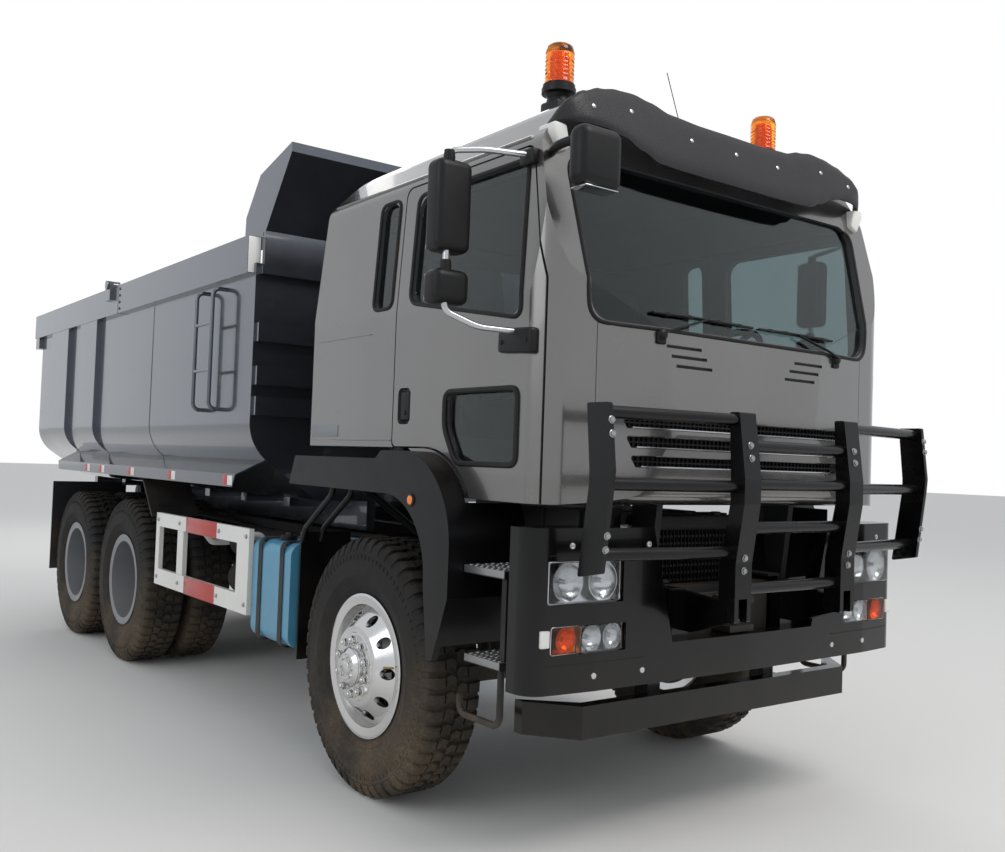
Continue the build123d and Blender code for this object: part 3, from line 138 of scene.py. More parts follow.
def spread(tree, value, fromLow, fromHigh, toLow=0.0, toHigh=1.0):
    names = {"Value": value, "From Min": fromLow, "From Max": fromHigh, "To Min": toLow, "To Max": toHigh}
    return addNode(tree, "ShaderNodeMapRange", names, clamp=True).outputs[0]


def blendColor(tree, factor, first, second):
    node = addNode(tree, "ShaderNodeMix", {0: factor, 6: first, 7: second}, data_type="RGBA")
    return node.outputs[2]


def noise(tree, scale, detail=3.0, vector=None, rough=0.5):
    vector = vector or addNode(tree, "ShaderNodeTexCoord").outputs["Object"]
    values = {"Vector": vector, "Scale": scale, "Detail": detail, "Roughness": rough}
    return addNode(tree, "ShaderNodeTexNoise", values).outputs[0]


def makeGroup(name, inputs, outputs, build):
    tree = bpy.data.node_groups.new(name, "ShaderNodeTree")
    for label, value in inputs.items():
        kind = "NodeSocketColor" if isinstance(value, tuple) else "NodeSocketFloat"
        socket = tree.interface.new_socket(label, in_out="INPUT", socket_type=kind)
        socket.default_value = (*value, 1.0) if isinstance(value, tuple) else value
    for label in outputs:
        kind = "NodeSocketColor" if "Color" in label else "NodeSocketFloat"
        tree.interface.new_socket(label, in_out="OUTPUT", socket_type=kind)
    start = tree.nodes.new("NodeGroupInput")
    end = tree.nodes.new("NodeGroupOutput")
    for label, socket in build(tree, start.outputs).items():
        tree.links.new(socket, end.inputs[label])
    return tree


# effects that several finishes share
# tone drifts over the surface, dust lies low down and on top, the gloss wanders
def buildSurface(tree, given):
    drift = spread(tree, noise(tree, given["Tone Scale"], 4.0), 0.3, 0.7)
    tone = calc(tree, "MULTIPLY", drift, given["Tone Amount"])
    toned = blendColor(tree, tone, given["Color"], given["Dark"])
    geometry = addNode(tree, "ShaderNodeNewGeometry")
    facing = addNode(tree, "ShaderNodeSeparateXYZ", {0: geometry.outputs["Normal"]}).outputs[2]
    height = addNode(tree, "ShaderNodeSeparateXYZ", {0: geometry.outputs["Position"]}).outputs[2]
    lying = spread(tree, facing, 0.35, 1.0)
    low = spread(tree, height, given["Dust Height"], 0.0)
    cloud = spread(tree, noise(tree, 3.1, 6.0, rough=0.62), 0.34, 0.72)
    speck = spread(tree, noise(tree, 95.0, 2.0), 0.45, 0.75)
    amount = calc(tree, "ADD", calc(tree, "MULTIPLY", lying, 0.45), calc(tree, "MULTIPLY", low, 0.9))
    amount = calc(tree, "MULTIPLY", amount, calc(tree, "ADD", calc(tree, "MULTIPLY", speck, 0.5), 0.5))
    mask = calc(tree, "MULTIPLY", calc(tree, "MULTIPLY", amount, cloud), given["Dust Amount"], clamp=True)
    color = blendColor(tree, mask, toned, given["Dust"])
    uneven = noise(tree, 7.0, 5.0, rough=0.6)
    wander = spread(tree, uneven, 0.3, 0.7, given["Rough Low"], given["Rough High"])
    roughness = calc(tree, "ADD", wander, calc(tree, "MULTIPLY", mask, 0.5), clamp=True)
    return {"Color": color, "Roughness": roughness, "Mask": mask}


surfaceGroup = makeGroup("surfaceWear", {
    "Color": (0.5, 0.5, 0.5), "Dark": (0.4, 0.4, 0.4), "Dust": (0.45, 0.36, 0.26), "Tone Scale": 2.0,
    "Tone Amount": 0.5, "Dust Amount": 0.3, "Dust Height": 1.2, "Rough Low": 0.3, "Rough High": 0.4,
}, ["Color", "Roughness", "Mask"], buildSurface)


# bright flakes in a lacquer
def buildFlakes(tree, given):
    place = addNode(tree, "ShaderNodeTexCoord").outputs["Object"]
    cells = addNode(tree, "ShaderNodeTexVoronoi", {"Vector": place, "Scale": given["Scale"]})
    value = addNode(tree, "ShaderNodeSeparateColor", {0: cells.outputs["Color"]}).outputs[0]
    mask = calc(tree, "MULTIPLY", spread(tree, value, 0.55, 1.0), given["Amount"])
    color = blendColor(tree, mask, given["Color"], given["Flake Color"])
    return {"Color": color, "Height": noise(tree, 42.0, 2.0)}


flakeGroup = makeGroup("lacquerFlakes", {
    "Color": (0.3, 0.3, 0.3), "Flake Color": (0.8, 0.8, 0.8), "Scale": 900.0, "Amount": 0.3,
}, ["Color", "Height"], buildFlakes)


# a grained skin, from cast iron to moulded plastic
def buildGrain(tree, given):
    place = addNode(tree, "ShaderNodeTexCoord").outputs["Object"]
    values = {"Vector": place, "Scale": given["Scale"]}
    cells = addNode(tree, "ShaderNodeTexVoronoi", values, feature="SMOOTH_F1")
    fine = noise(tree, calc(tree, "MULTIPLY", given["Scale"], 2.3), 3.0)
    broad = noise(tree, calc(tree, "MULTIPLY", given["Scale"], 0.07), 3.0)
    height = calc(tree, "ADD", cells.outputs["Distance"], calc(tree, "MULTIPLY", fine, 0.6))
    return {"Height": calc(tree, "ADD", height, calc(tree, "MULTIPLY", broad, given["Broad"]))}


grainGroup = makeGroup("skinGrain", {"Scale": 400.0, "Broad": 1.0}, ["Height"], buildGrain)


# lines drawn along one direction, from brushing or rolling
def buildBrushed(tree, given):
    place = addNode(tree, "ShaderNodeTexCoord").outputs["Object"]
    scales = {0: given["Along X"], 1: given["Along Y"], 2: given["Along Z"]}
    stretch = addNode(tree, "ShaderNodeCombineXYZ", scales).outputs[0]
    lines = addNode(tree, "ShaderNodeVectorMath", {0: place, 1: stretch}, operation="MULTIPLY")
    height = noise(tree, 1.0, 4.0, lines.outputs[0], 0.65)
    return {"Height": height, "Mask": spread(tree, height, 0.4, 0.7)}


brushedGroup = makeGroup("brushedLines", {"Along X": 8.0, "Along Y": 300.0, "Along Z": 300.0},
                         ["Height", "Mask"], buildBrushed)


# woven yarns with a fleck of another colour
def buildWeave(tree, given):
    place = addNode(tree, "ShaderNodeTexCoord").outputs["Object"]
    axes = addNode(tree, "ShaderNodeSeparateXYZ", {0: place}).outputs
    across = calc(tree, "SINE", calc(tree, "MULTIPLY", axes[1], given["Scale"]))
    along = calc(tree, "SINE", calc(tree, "MULTIPLY", calc(tree, "ADD", axes[0], axes[2]), given["Scale"]))
    height = calc(tree, "MULTIPLY", across, along)
    fleck = spread(tree, noise(tree, 260.0, 2.0), 0.56, 0.68)
    color = blendColor(tree, fleck, given["Color"], given["Fleck Color"])
    return {"Color": color, "Height": height}


weaveGroup = makeGroup("wovenCloth", {
    "Color": (0.1, 0.1, 0.1), "Fleck Color": (0.3, 0.3, 0.3), "Scale": 900.0,
}, ["Color", "Height"], buildWeave)


# finishes
def shade(screenColor):
    return tuple((channel / 255) ** 2.2 for channel in screenColor)


dustColor = shade((176, 152, 122))
finishes = {
    # colour and darker colour as on a screen, roughness low and high, metallic, dust, dust height, skin,
    # skin strength, coat
    "cab_paint": ((126, 124, 122), (116, 114, 112), 0.2, 0.28, 0.85, 0.18, 1.0, "flakes", 0.004, 1.0),
    "bed_paint": ((98, 102, 110), (90, 94, 102), 0.16, 0.24, 0.85, 0.14, 1.2, "flakes", 0.006, 1.0),
    "chassis_black": ((36, 36, 38), (27, 27, 29), 0.42, 0.6, 0.0, 0.55, 1.1, "grain", 0.12, 0.0),
    "bumper_black": ((11, 11, 13), (8, 8, 9), 0.16, 0.26, 0.0, 0.1, 1.0, "grain", 0.015, 0.2),
    "guard_black": ((11, 11, 13), (8, 8, 9), 0.22, 0.32, 0.0, 0.1, 0.8, "grain", 0.03, 0.15),
    "fender_black": ((19, 19, 21), (14, 14, 16), 0.32, 0.44, 0.0, 0.2, 1.1, "grain", 0.06, 0.0),
    "guard_white": ((226, 226, 222), (212, 212, 207), 0.3, 0.42, 0.0, 0.45, 1.4, "grain", 0.03, 0.3),
    "guard_red": ((184, 44, 38), (160, 36, 32), 0.3, 0.42, 0.0, 0.35, 1.4, "grain", 0.03, 0.3),
    "tank_blue": ((78, 148, 180), (62, 128, 160), 0.3, 0.42, 0.1, 0.35, 1.2, "grain", 0.03, 0.4),
    "wheel_chrome": ((222, 222, 222), (204, 204, 203), 0.09, 0.2, 1.0, 0.3, 1.0, "brushed", 0.01, 0.0),
    "wheel_grey": ((138, 142, 147), (122, 126, 131), 0.36, 0.5, 0.4, 0.4, 1.3, "grain", 0.05, 0.0),
    "tyre_rubber": ((45, 44, 43), (33, 32, 32), 0.72, 0.9, 0.0, 0.6, 0.9, "grain", 0.25, 0.0),
    "trim_black": ((22, 22, 23), (17, 17, 18), 0.36, 0.5, 0.0, 0.12, 1.2, "grain", 0.08, 0.0),
    "visor_grey": ((50, 48, 51), (38, 36, 39), 0.34, 0.48, 0.1, 0.25, 1.2, "grain", 0.35, 0.0),
    "dash_plastic": ((70, 71, 74), (60, 61, 64), 0.52, 0.66, 0.0, 0.15, 0.2, "grain", 0.16, 0.0),
    "dash_dark": ((42, 42, 45), (34, 34, 37), 0.5, 0.64, 0.0, 0.15, 0.2, "grain", 0.16, 0.0),
    "hoist_steel": ((168, 170, 172), (148, 150, 152), 0.2, 0.36, 0.9, 0.2, 1.2, "brushed", 0.05, 0.0),
    "bright_trim": ((206, 207, 209), (188, 189, 192), 0.16, 0.28, 0.9, 0.2, 1.2, "brushed", 0.02, 0.0),
    "step_plate": ((158, 159, 160), (128, 129, 130), 0.34, 0.5, 0.8, 0.6, 1.4, "brushed", 0.1, 0.0),
    "cast_black": ((46, 45, 45), (34, 33, 33), 0.55, 0.75, 0.1, 0.6, 1.2, "grain", 0.45, 0.0),
    "rubber_seal": ((28, 28, 28), (22, 22, 22), 0.5, 0.66, 0.0, 0.15, 1.2, "grain", 0.06, 0.0),
    "seat_fabric": ((66, 68, 78), (52, 54, 63), 0.82, 0.95, 0.0, 0.05, 0.1, "weave", 0.35, 0.0),
    "brass": ((168, 142, 88), (140, 116, 70), 0.3, 0.45, 0.9, 0.4, 1.2, "grain", 0.1, 0.0),
    "amber_solid": ((244, 128, 18), (226, 108, 10), 0.12, 0.22, 0.0, 0.1, 1.0, "grain", 0.01, 0.8),
    "mirror_glass": ((214, 218, 220), (200, 204, 207), 0.03, 0.07, 1.0, 0.05, 0.5, "grain", 0.0, 0.0),
}
gloss = {
    "tyre_rubber": 0.3, "seat_fabric": 0.3, "trim_black": 0.32, "chassis_black": 0.35, "rubber_seal": 0.35,
    "bumper_black": 0.3, "guard_black": 0.3, "fender_black": 0.32, "visor_grey": 0.3,
}
skinScales = {"tyre_rubber": 500.0, "cast_black": 160.0, "visor_grey": 130.0, "bumper_black": 90.0}
made = {}


def startMaterial(name, color, dark, roughLow, roughHigh, dust=0.0, dustHeight=0.6):
    material = bpy.data.materials.new(name)
    material.use_nodes = True
    tree = material.node_tree
    shader = tree.nodes["Principled BSDF"]
    surface = addNode(tree, "ShaderNodeGroup", node_tree=surfaceGroup)
    values = {
        "Color": color, "Dark": dark, "Dust": dustColor, "Dust Amount": dust, "Dust Height": dustHeight,
        "Rough Low": roughLow, "Rough High": roughHigh,
    }
    for label, value in values.items():
        feed(tree, surface.inputs[label], value)
    tree.links.new(surface.outputs["Color"], shader.inputs["Base Color"])
    tree.links.new(surface.outputs["Roughness"], shader.inputs["Roughness"])
    return material, tree, shader, surface


def makeFinish(name):
    (color, dark, roughLow, roughHigh, metallic,
     dust, dustHeight, skin, strength, coat) = finishes[name]
    color = shade(color)
    material, tree, shader, surface = startMaterial(
        name, color, shade(dark), roughLow, roughHigh, dust, dustHeight)
    if skin == "flakes":
        skinNode = addNode(tree, "ShaderNodeGroup", node_tree=flakeGroup)
        feed(tree, skinNode.inputs["Color"], color)
        feed(tree, skinNode.inputs["Flake Color"], tuple(1.45 * channel for channel in color))
    elif skin == "grain":
        scale = skinScales.get(name, 320.0)
        skinNode = addNode(tree, "ShaderNodeGroup", {"Scale": scale}, node_tree=grainGroup)
    elif skin == "brushed":
        skinNode = addNode(tree, "ShaderNodeGroup", node_tree=brushedGroup)
    else:
        skinNode = addNode(tree, "ShaderNodeGroup", node_tree=weaveGroup)
        feed(tree, skinNode.inputs["Color"], color)
        feed(tree, skinNode.inputs["Fleck Color"], tuple(1.9 * channel + 0.01 for channel in color))
    if "Color" in skinNode.outputs:
        tree.links.new(skinNode.outputs["Color"], surface.inputs["Color"])
    if strength > 0:
        values = {"Height": skinNode.outputs["Height"], "Strength": strength, "Distance": 0.002}
        bump = addNode(tree, "ShaderNodeBump", values)
        tree.links.new(bump.outputs[0], shader.inputs["Normal"])
    settings = {
        "Metallic": metallic, "Coat Weight": coat, "Coat Roughness": 0.04,
        "Specular IOR Level": gloss.get(name, 0.5),
    }
    for label, value in settings.items():
        shader.inputs[label].default_value = value
    return material


glasses = {
    # tint and darker tint as on a screen, roughness low and high
    "clear_glass": ((148, 164, 166), (138, 154, 156), 0.0, 0.0),
    "lamp_glass": ((240, 243, 245), (228, 232, 235), 0.01, 0.05),
    "amber_lens": ((255, 140, 20), (244, 122, 12), 0.05, 0.14),
    "red_lens": ((200, 24, 20), (176, 16, 14), 0.05, 0.14),
}
paneLight = (0.7, 0.74, 0.74)


# daylight reaches the cab through its panes
def letLightPass(tree, shader):
    path = addNode(tree, "ShaderNodeLightPath").outputs
    passing = calc(tree, "MAXIMUM", path["Is Shadow Ray"], path["Is Diffuse Ray"])
    pane = addNode(tree, "ShaderNodeBsdfTransparent", {"Color": paneLight})
    mixed = addNode(tree, "ShaderNodeMixShader", {0: passing, 1: shader.outputs[0], 2: pane.outputs[0]})
    tree.links.new(mixed.outputs[0], tree.nodes["Material Output"].inputs["Surface"])


def makeGlass(name):
    tint, dark, roughLow, roughHigh = glasses[name]
    material, tree, shader, _ = startMaterial(name, shade(tint), shade(dark), roughLow, roughHigh)
    shader.inputs["Transmission Weight"].default_value = 1.0
    shader.inputs["IOR"].default_value = 1.45
    if name == "clear_glass":
        letLightPass(tree, shader)
    return material


def getFinish(name):
    if name not in made:
        made[name] = makeGlass(name) if name in glasses else makeFinish(name)
    return made[name]


# nodes whose finish isn't the one that their slot names
nodeFinish = {
    "fenders": "fender_black", "bumper": "bumper_black", "front_guard": "guard_black",
    "lower_beam": "bumper_black", "sun_visor": "visor_grey",
}
slotOf = {row["node"]: row["material_slot"] for row in frame["record"]["subparts"]}
for nodeName, item in nodes.items():
    finishName = nodeFinish.get(nodeName, slotOf[nodeName])
    for slot in item.material_slots:
        slot.material = getFinish(finishName)
    if not item.material_slots:
        item.data.materials.append(getFinish(finishName))


# the cab's underside is dark, and its faces that look inwards are trimmed
cabin = {"middle": (0.35, 0, 2.15), "underside": 1.458, "facing": 0.02}
cabinMiddle = Vector(cabin["middle"]) + truckOffset
for nodeName in ("cab_shell", "door_right", "door_left"):
    item = nodes[nodeName]
    for finishName in ("chassis_black", "dash_plastic"):
        item.data.materials.append(getFinish(finishName))
    for face in item.data.polygons:
        middle = item.matrix_world @ face.center
        normal = item.matrix_world.to_3x3() @ face.normal
        if middle.z < cabin["underside"]:
            face.material_index = 1
        elif normal.dot(cabinMiddle - middle) > cabin["facing"]:
            face.material_index = 2
print("finishes", len(made))


def makeWorld():
    world = bpy.data.worlds.new("studioWorld")
    bpy.context.scene.world = world
    world.use_nodes = True
    tree = world.node_tree
    tree.nodes.clear()
    path = addNode(tree, "ShaderNodeLightPath")
    seen = calc(tree, "MAXIMUM", path.outputs["Is Camera Ray"], path.outputs["Is Transmission Ray"])
    light = addNode(tree, "ShaderNodeBackground", {"Color": studio["sky"], "Strength": studio["ambient"]})
    shown = addNode(tree, "ShaderNodeBackground", {"Color": (1.0, 1.0, 1.0), "Strength": 1.0})
    mix = addNode(tree, "ShaderNodeMixShader", {0: seen, 1: light.outputs[0], 2: shown.outputs[0]})
    output = addNode(tree, "ShaderNodeOutputWorld")
    tree.links.new(mix.outputs[0], output.inputs[0])


def makeLamps():
    for name, place, target, size, power, color in studio["lamps"]:
        data = bpy.data.lights.new(name, "AREA")
        data.size, data.energy, data.color = size, power, color
        lamp = bpy.data.objects.new(name, data)
        lamp.location = place
        lamp.rotation_euler = (Vector(target) - Vector(place)).to_track_quat("-Z", "Y").to_euler()
        bpy.context.scene.collection.objects.link(lamp)


def makeFloor():
    half = studio["floorHalf"]
    mesh = bpy.data.meshes.new("studioFloor")
    corners = [(-half, -half, 0), (half, -half, 0), (half, half, 0), (-half, half, 0)]
    mesh.from_pydata(corners, [], [(0, 1, 2, 3)])
    floor = bpy.data.objects.new("studioFloor", mesh)
    bpy.context.scene.collection.objects.link(floor)
    material = bpy.data.materials.new("studioFloor")
    material.use_nodes = True
    tree = material.node_tree
    shader = tree.nodes["Principled BSDF"]
    grit = spread(tree, noise(tree, 260.0, 3.0), 0.3, 0.7)
    pale = studio["floor"]
    color = blendColor(tree, grit, pale, tuple(0.965 * channel for channel in pale))
    tree.links.new(color, shader.inputs["Base Color"])
    shader.inputs["Roughness"].default_value = 0.9
    mesh.materials.append(material)


makeWorld()
makeLamps()
makeFloor()
bpy.context.scene.view_settings.view_transform = "Standard"
print("studio ready")


# mesh helpers: a shape is a pair of lists, points and faces, in the truck's own metres
def boxShape(x, y, z, bevel=0.0, segments=2):
    low = Vector((min(x), min(y), min(z)))
    size = Vector((max(x), max(y), max(z))) - low
    work = bmesh.new()
    for vertex in bmesh.ops.create_cube(work, size=1.0)["verts"]:
        vertex.co = Vector(low[i] + (vertex.co[i] + 0.5) * size[i] for i in range(3))
    return finished(work, bevel, segments)


def finished(work, bevel, segments, sharpest=0.6):
    if bevel > 0:
        work.edges.ensure_lookup_table()
        edges = [edge for edge in work.edges if edge.calc_face_angle(0.0) > sharpest]
        bmesh.ops.bevel(work, geom=edges, offset=bevel, segments=segments, profile=0.5, affect="EDGES",
                        clamp_overlap=True)
    work.verts.index_update()
    points = [vertex.co.copy() for vertex in work.verts]
    faces = [[vertex.index for vertex in face.verts] for face in work.faces]
    work.free()
    return points, faces


# an outline drawn across the x or the y axis, from low to high along it
def prismShape(rows, axis, low, high, bevel=0.0, segments=2):
    def place(u, v, w):
        return (w, u, v) if axis == "x" else (u, w, v)

    work = bmesh.new()
    bottom = [work.verts.new(place(u, v, low)) for u, v in rows]
    top = [work.verts.new(place(u, v, high)) for u, v in rows]
    work.faces.new(bottom)
    work.faces.new(top)
    for i in range(len(rows)):
        j = (i + 1) % len(rows)
        work.faces.new((bottom[i], bottom[j], top[j], top[i]))
    bmesh.ops.recalc_face_normals(work, faces=work.faces)
    return finished(work, bevel, segments)


# rows of radius and height round the z axis; a radius of nought closes an end
def turnedShape(rows, steps=32, phase=0.0):
    points, faces, rings = [], [], []
    for radius, height in rows:
        if radius <= 0:
            rings.append([len(points)])
            points.append(Vector((0, 0, height)))
            continue
        rings.append(list(range(len(points), len(points) + steps)))
        for i in range(steps):
            angle = 2 * math.pi * (i + phase) / steps
            points.append(Vector((radius * math.cos(angle), radius * math.sin(angle), height)))
    for first, second in zip(rings, rings[1:]):
        for i in range(steps):
            j = (i + 1) % steps
            below = [first[i % len(first)], first[j % len(first)]]
            above = [second[j % len(second)], second[i % len(second)]]
            face = list(dict.fromkeys(below + above))
            if len(face) > 2:
                faces.append(face)
    return points, faces


def roundedPath(points, bend, steps=5, closed=False):
    points = [Vector(point) for point in points]
    if bend <= 0:
        return points
    path = [] if closed else [points[0]]
    for i in range(len(points)) if closed else range(1, len(points) - 1):
        corner, before, after = points[i], points[i - 1], points[(i + 1) % len(points)]
        reach = min(bend, (before - corner).length * 0.48, (after - corner).length * 0.48)
        start = corner + (before - corner).normalized() * reach
        end = corner + (after - corner).normalized() * reach
        for step in range(steps + 1):
            t = step / steps
            path.append(start * (1 - t) ** 2 + corner * 2 * t * (1 - t) + end * t * t)
    if not closed:
        path.append(points[-1])
    return path


# faces between two rings of points, given by each ring's first index
def ringFaces(first, second, size):
    return [[first + k, first + (k + 1) % size, second + (k + 1) % size, second + k] for k in range(size)]


def tubeShape(points, radius, sides=10, bend=0.0, closed=False, flat=1.0, steps=5):
    path = roundedPath(points, bend, steps, closed)
    count = len(path)
    verts, faces, across = [], [], None
    for i, point in enumerate(path):
        before = path[i - 1] if i or closed else point
        after = path[(i + 1) % count] if i < count - 1 or closed else point
        ahead = (after - before).normalized()
        if across is None:
            helper = Vector((0, 0, 1)) if abs(ahead.z) < 0.9 else Vector((1, 0, 0))
            across = ahead.cross(helper).normalized()
        across = (across - ahead * across.dot(ahead)).normalized()
        up = ahead.cross(across)
        for k in range(sides):
            angle = 2 * math.pi * (k + 0.5) / sides
            verts.append(point + across * radius * math.cos(angle) + up * radius * flat * math.sin(angle))
    for i in range(count if closed else count - 1):
        faces.extend(ringFaces(i * sides, ((i + 1) % count) * sides, sides))
    if not closed:
        faces.append(list(range(sides))[::-1])
        faces.append([(count - 1) * sides + k for k in range(sides)])
    return verts, faces


def moved(shape, matrix):
    return [matrix @ point for point in shape[0]], shape[1]


def shifted(shape, x=0.0, y=0.0, z=0.0):
    return moved(shape, Matrix.Translation((x, y, z)))


# turns a shape made along z to lie along a direction, from a point
def aimed(shape, place, direction, roll=0.0):
    turn = Vector(direction).to_track_quat("Z", "Y").to_matrix().to_4x4() @ Matrix.Rotation(roll, 4, "Z")
    return moved(shape, Matrix.Translation(Vector(place)) @ turn)


# a turned shape that stands on a point and looks along a direction
def turnedAt(rows, steps, place, direction):
    return aimed(turnedShape(rows, steps), place, direction)


def flipped(shape):
    return [Vector((point.x, -point.y, point.z)) for point in shape[0]], [face[::-1] for face in shape[1]]


def sided(shape, side):  # shapes are drawn on the left and flipped for the right
    return shape if side > 0 else flipped(shape)


def bothSides(shapes):
    return shapes + [flipped(shape) for shape in shapes]


def nutShape(across, height, washer=0.0, stud=0.0):
    half = across / math.sqrt(3)
    rows = [(half, 0), (half, height * 0.82), (half * 0.86, height), (0, height)]
    shapes = [turnedShape([(0, 0), *rows], 6)]
    if washer:
        rows = [(0, 0), (washer, 0), (washer, across * 0.09), (half, across * 0.16)]
        shapes.append(turnedShape(rows, 20))
    if stud:
        tip = height * 1.42
        rows = [(stud, height * 0.9), (stud, height * 1.3), (stud * 0.7, tip), (0, tip)]
        shapes.append(turnedShape(rows, 12))
    return merged(shapes)


def merged(shapes):
    points, faces = [], []
    for shape in shapes:
        start = len(points)
        points.extend(shape[0])
        faces.extend([index + start for index in face] for face in shape[1])
    return points, faces


# makes one piece from shapes; like names the CAD node whose body it rides on
def makePiece(name, shapes, finish, like, slotName=None, smooth=38.0, replaces=(), offset=None):
    points, faces = merged(shapes)
    mesh = bpy.data.meshes.new(name)
    shift = truckOffset if offset is None else offset
    mesh.from_pydata([point + shift for point in points], [], faces)
    work = bmesh.new()
    work.from_mesh(mesh)
    bmesh.ops.remove_doubles(work, verts=work.verts, dist=0.00002)
    bmesh.ops.recalc_face_normals(work, faces=work.faces)
    limit = math.radians(smooth)
    for face in work.faces:
        face.smooth = True
    for edge in work.edges:
        edge.smooth = edge.calc_face_angle(math.pi) < limit
    work.to_mesh(mesh)
    work.free()
    mesh.materials.append(getFinish(finish))
    item = bpy.data.objects.new(name, mesh)
    bpy.context.scene.collection.objects.link(item)
    return settle(item, like, replaces)


# shapes drawn on the left make the piece on their own side
def makeSided(name, shapes, side, *rest, **options):
    return makePiece(name, [sided(shape, side) for shape in shapes], *rest, **options)


def settle(item, like, replaces=()):
    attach(item, nodes[like]["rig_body"])
    if replaces:
        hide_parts(*replaces)
    return item


surfaces = {}


# where a line meets the CAD surface, with the surface's direction there
def touch(nodeName, point, direction):
    if nodeName not in surfaces:
        mesh = nodes[nodeName].data
        points = [vertex.co - truckOffset for vertex in mesh.vertices]
        surfaces[nodeName] = BVHTree.FromPolygons(points, [list(face.vertices) for face in mesh.polygons])
    place, normal, _, _ = surfaces[nodeName].ray_cast(Vector(point), Vector(direction).normalized())
    return place, normal


# places that several pieces share, and the points from which lines look for the CAD surface
layout = {
    "wheelHeight": 0.613, "frontTrack": 1.031, "outerTrack": 1.06, "innerTrack": 0.71, "rearHub": 0.885,
    "rearAxles": {"middle": -3.69, "rear": -5.04},
}
lookFrom = {"front": 2.2, "farFront": 2.4, "side": 2.0, "top": 2.6, "behind": -8.0}


# tyres: a turned carcass with tread blocks, one mesh that all ten tyres share
tyre = {
    "radius": 0.613, "base": 0.5955, "sink": 0.003, "flare": 1.06, "pitches": 52, "turns": 104,
    # radius and distance from the tyre's middle, from the tread's middle to the bead
    "carcass": [
        (0.5955, 0.0), (0.5955, 0.06), (0.5955, 0.112), (0.585, 0.1325), (0.566, 0.1425),
        (0.548, 0.1475), (0.545, 0.15), (0.538, 0.1505), (0.535, 0.1488), (0.5, 0.154),
        (0.47, 0.1562), (0.44, 0.156), (0.436, 0.1568), (0.428, 0.156), (0.424, 0.154),
        (0.402, 0.1472), (0.388, 0.14), (0.382, 0.1402), (0.376, 0.1362), (0.362, 0.129),
        (0.352, 0.124), (0.343, 0.1215), (0.33, 0.118), (0.306, 0.117),
    ],
    # corners of the two middle blocks, as share of the pitch and distance from the middle
    "blocks": [
        [(0.04, 0.006), (0.6, 0.006), (0.8, 0.03), (0.62, 0.054), (0.1, 0.054), (0.24, 0.03)],
        [(0.54, -0.006), (1.1, -0.006), (1.24, -0.03), (1.1, -0.054), (0.56, -0.054), (0.74, -0.03)],
    ],
    # distance from the middle and radius, outer and inner, down over the shoulder
    "lug": [
        (0.064, 0.613, 0.59), (0.112, 0.613, 0.59), (0.126, 0.606, 0.584), (0.138, 0.59, 0.572),
        (0.1475, 0.566, 0.556), (0.1495, 0.556, 0.55),
    ],
    "lugShare": 0.66, "lugLean": 0.1, "lugEdge": 0.03,
    "ribCount": 90, "rib": ((0.507, 0.53), (-0.0018, 0.0018), (0.1515, 0.1545)), "ribBevel": 0.0006,
}


def roundPoint(share, distance, radius):
    angle = 2 * math.pi * share / tyre["pitches"]
    return Vector((radius * math.cos(angle), radius * math.sin(angle), distance))


def treadBlock(corners, pitch):
    top = [roundPoint(pitch + share, distance, tyre["radius"]) for share, distance in corners]
    count = len(corners)
    midShare = sum(share for share, _ in corners) / count
    midDistance = sum(distance for _, distance in corners) / count
    flare = tyre["flare"]
    wide = [(midShare + (share - midShare) * flare, midDistance + (distance - midDistance) * flare)
            for share, distance in corners]
    low = [roundPoint(pitch + share, distance, tyre["base"] - tyre["sink"]) for share, distance in wide]
    walls = [[i, (i + 1) % count, count + (i + 1) % count, count + i] for i in range(count)]
    return top + low, [list(range(count)), *walls]


def shoulderLug(pitch, side):
    points, faces = [], []
    share, edge = tyre["lugShare"], tyre["lugEdge"]
    for i, (distance, outer, inner) in enumerate(tyre["lug"]):
        lean = tyre["lugLean"] * i / 5
        for along, radius in ((0.0, inner), (edge, outer), (share - edge, outer), (share, inner)):
            points.append(roundPoint(pitch + along + lean, side * distance, radius))
    for i in range(len(tyre["lug"]) - 1):
        faces.extend([[4 * i + k, 4 * i + k + 1, 4 * i + k + 5, 4 * i + k + 4] for k in range(3)])
    last = 4 * (len(tyre["lug"]) - 1)
    faces.extend([[0, 1, 2, 3], [last, last + 1, last + 2, last + 3]])
    return points, faces


def tyreShapes():
    half = tyre["carcass"]
    rows = [(radius, -distance) for radius, distance in reversed(half[1:])] + half
    shapes = [turnedShape([*rows, rows[0]], tyre["turns"])]
    for pitch in range(tyre["pitches"]):
        shapes.extend(treadBlock(corners, pitch) for corners in tyre["blocks"])
        shapes.append(shoulderLug(pitch, 1))
        shapes.append(shoulderLug(pitch + 0.5, -1))
    rib = boxShape(*tyre["rib"], tyre["ribBevel"], 1)
    for step in range(tyre["ribCount"]):  # fine ribs round the sidewall, under the shoulder
        turned = moved(rib, Matrix.Rotation(2 * math.pi * step / tyre["ribCount"], 4, "Z"))
        shapes.extend([turned, moved(turned, Matrix.Diagonal((1, 1, -1, 1)))])
    return shapes


# lays a shape's z axis across the truck, pointing outwards
def outwards(side):
    return Matrix.Rotation(math.radians(90 if side < 0 else -90), 4, "X")


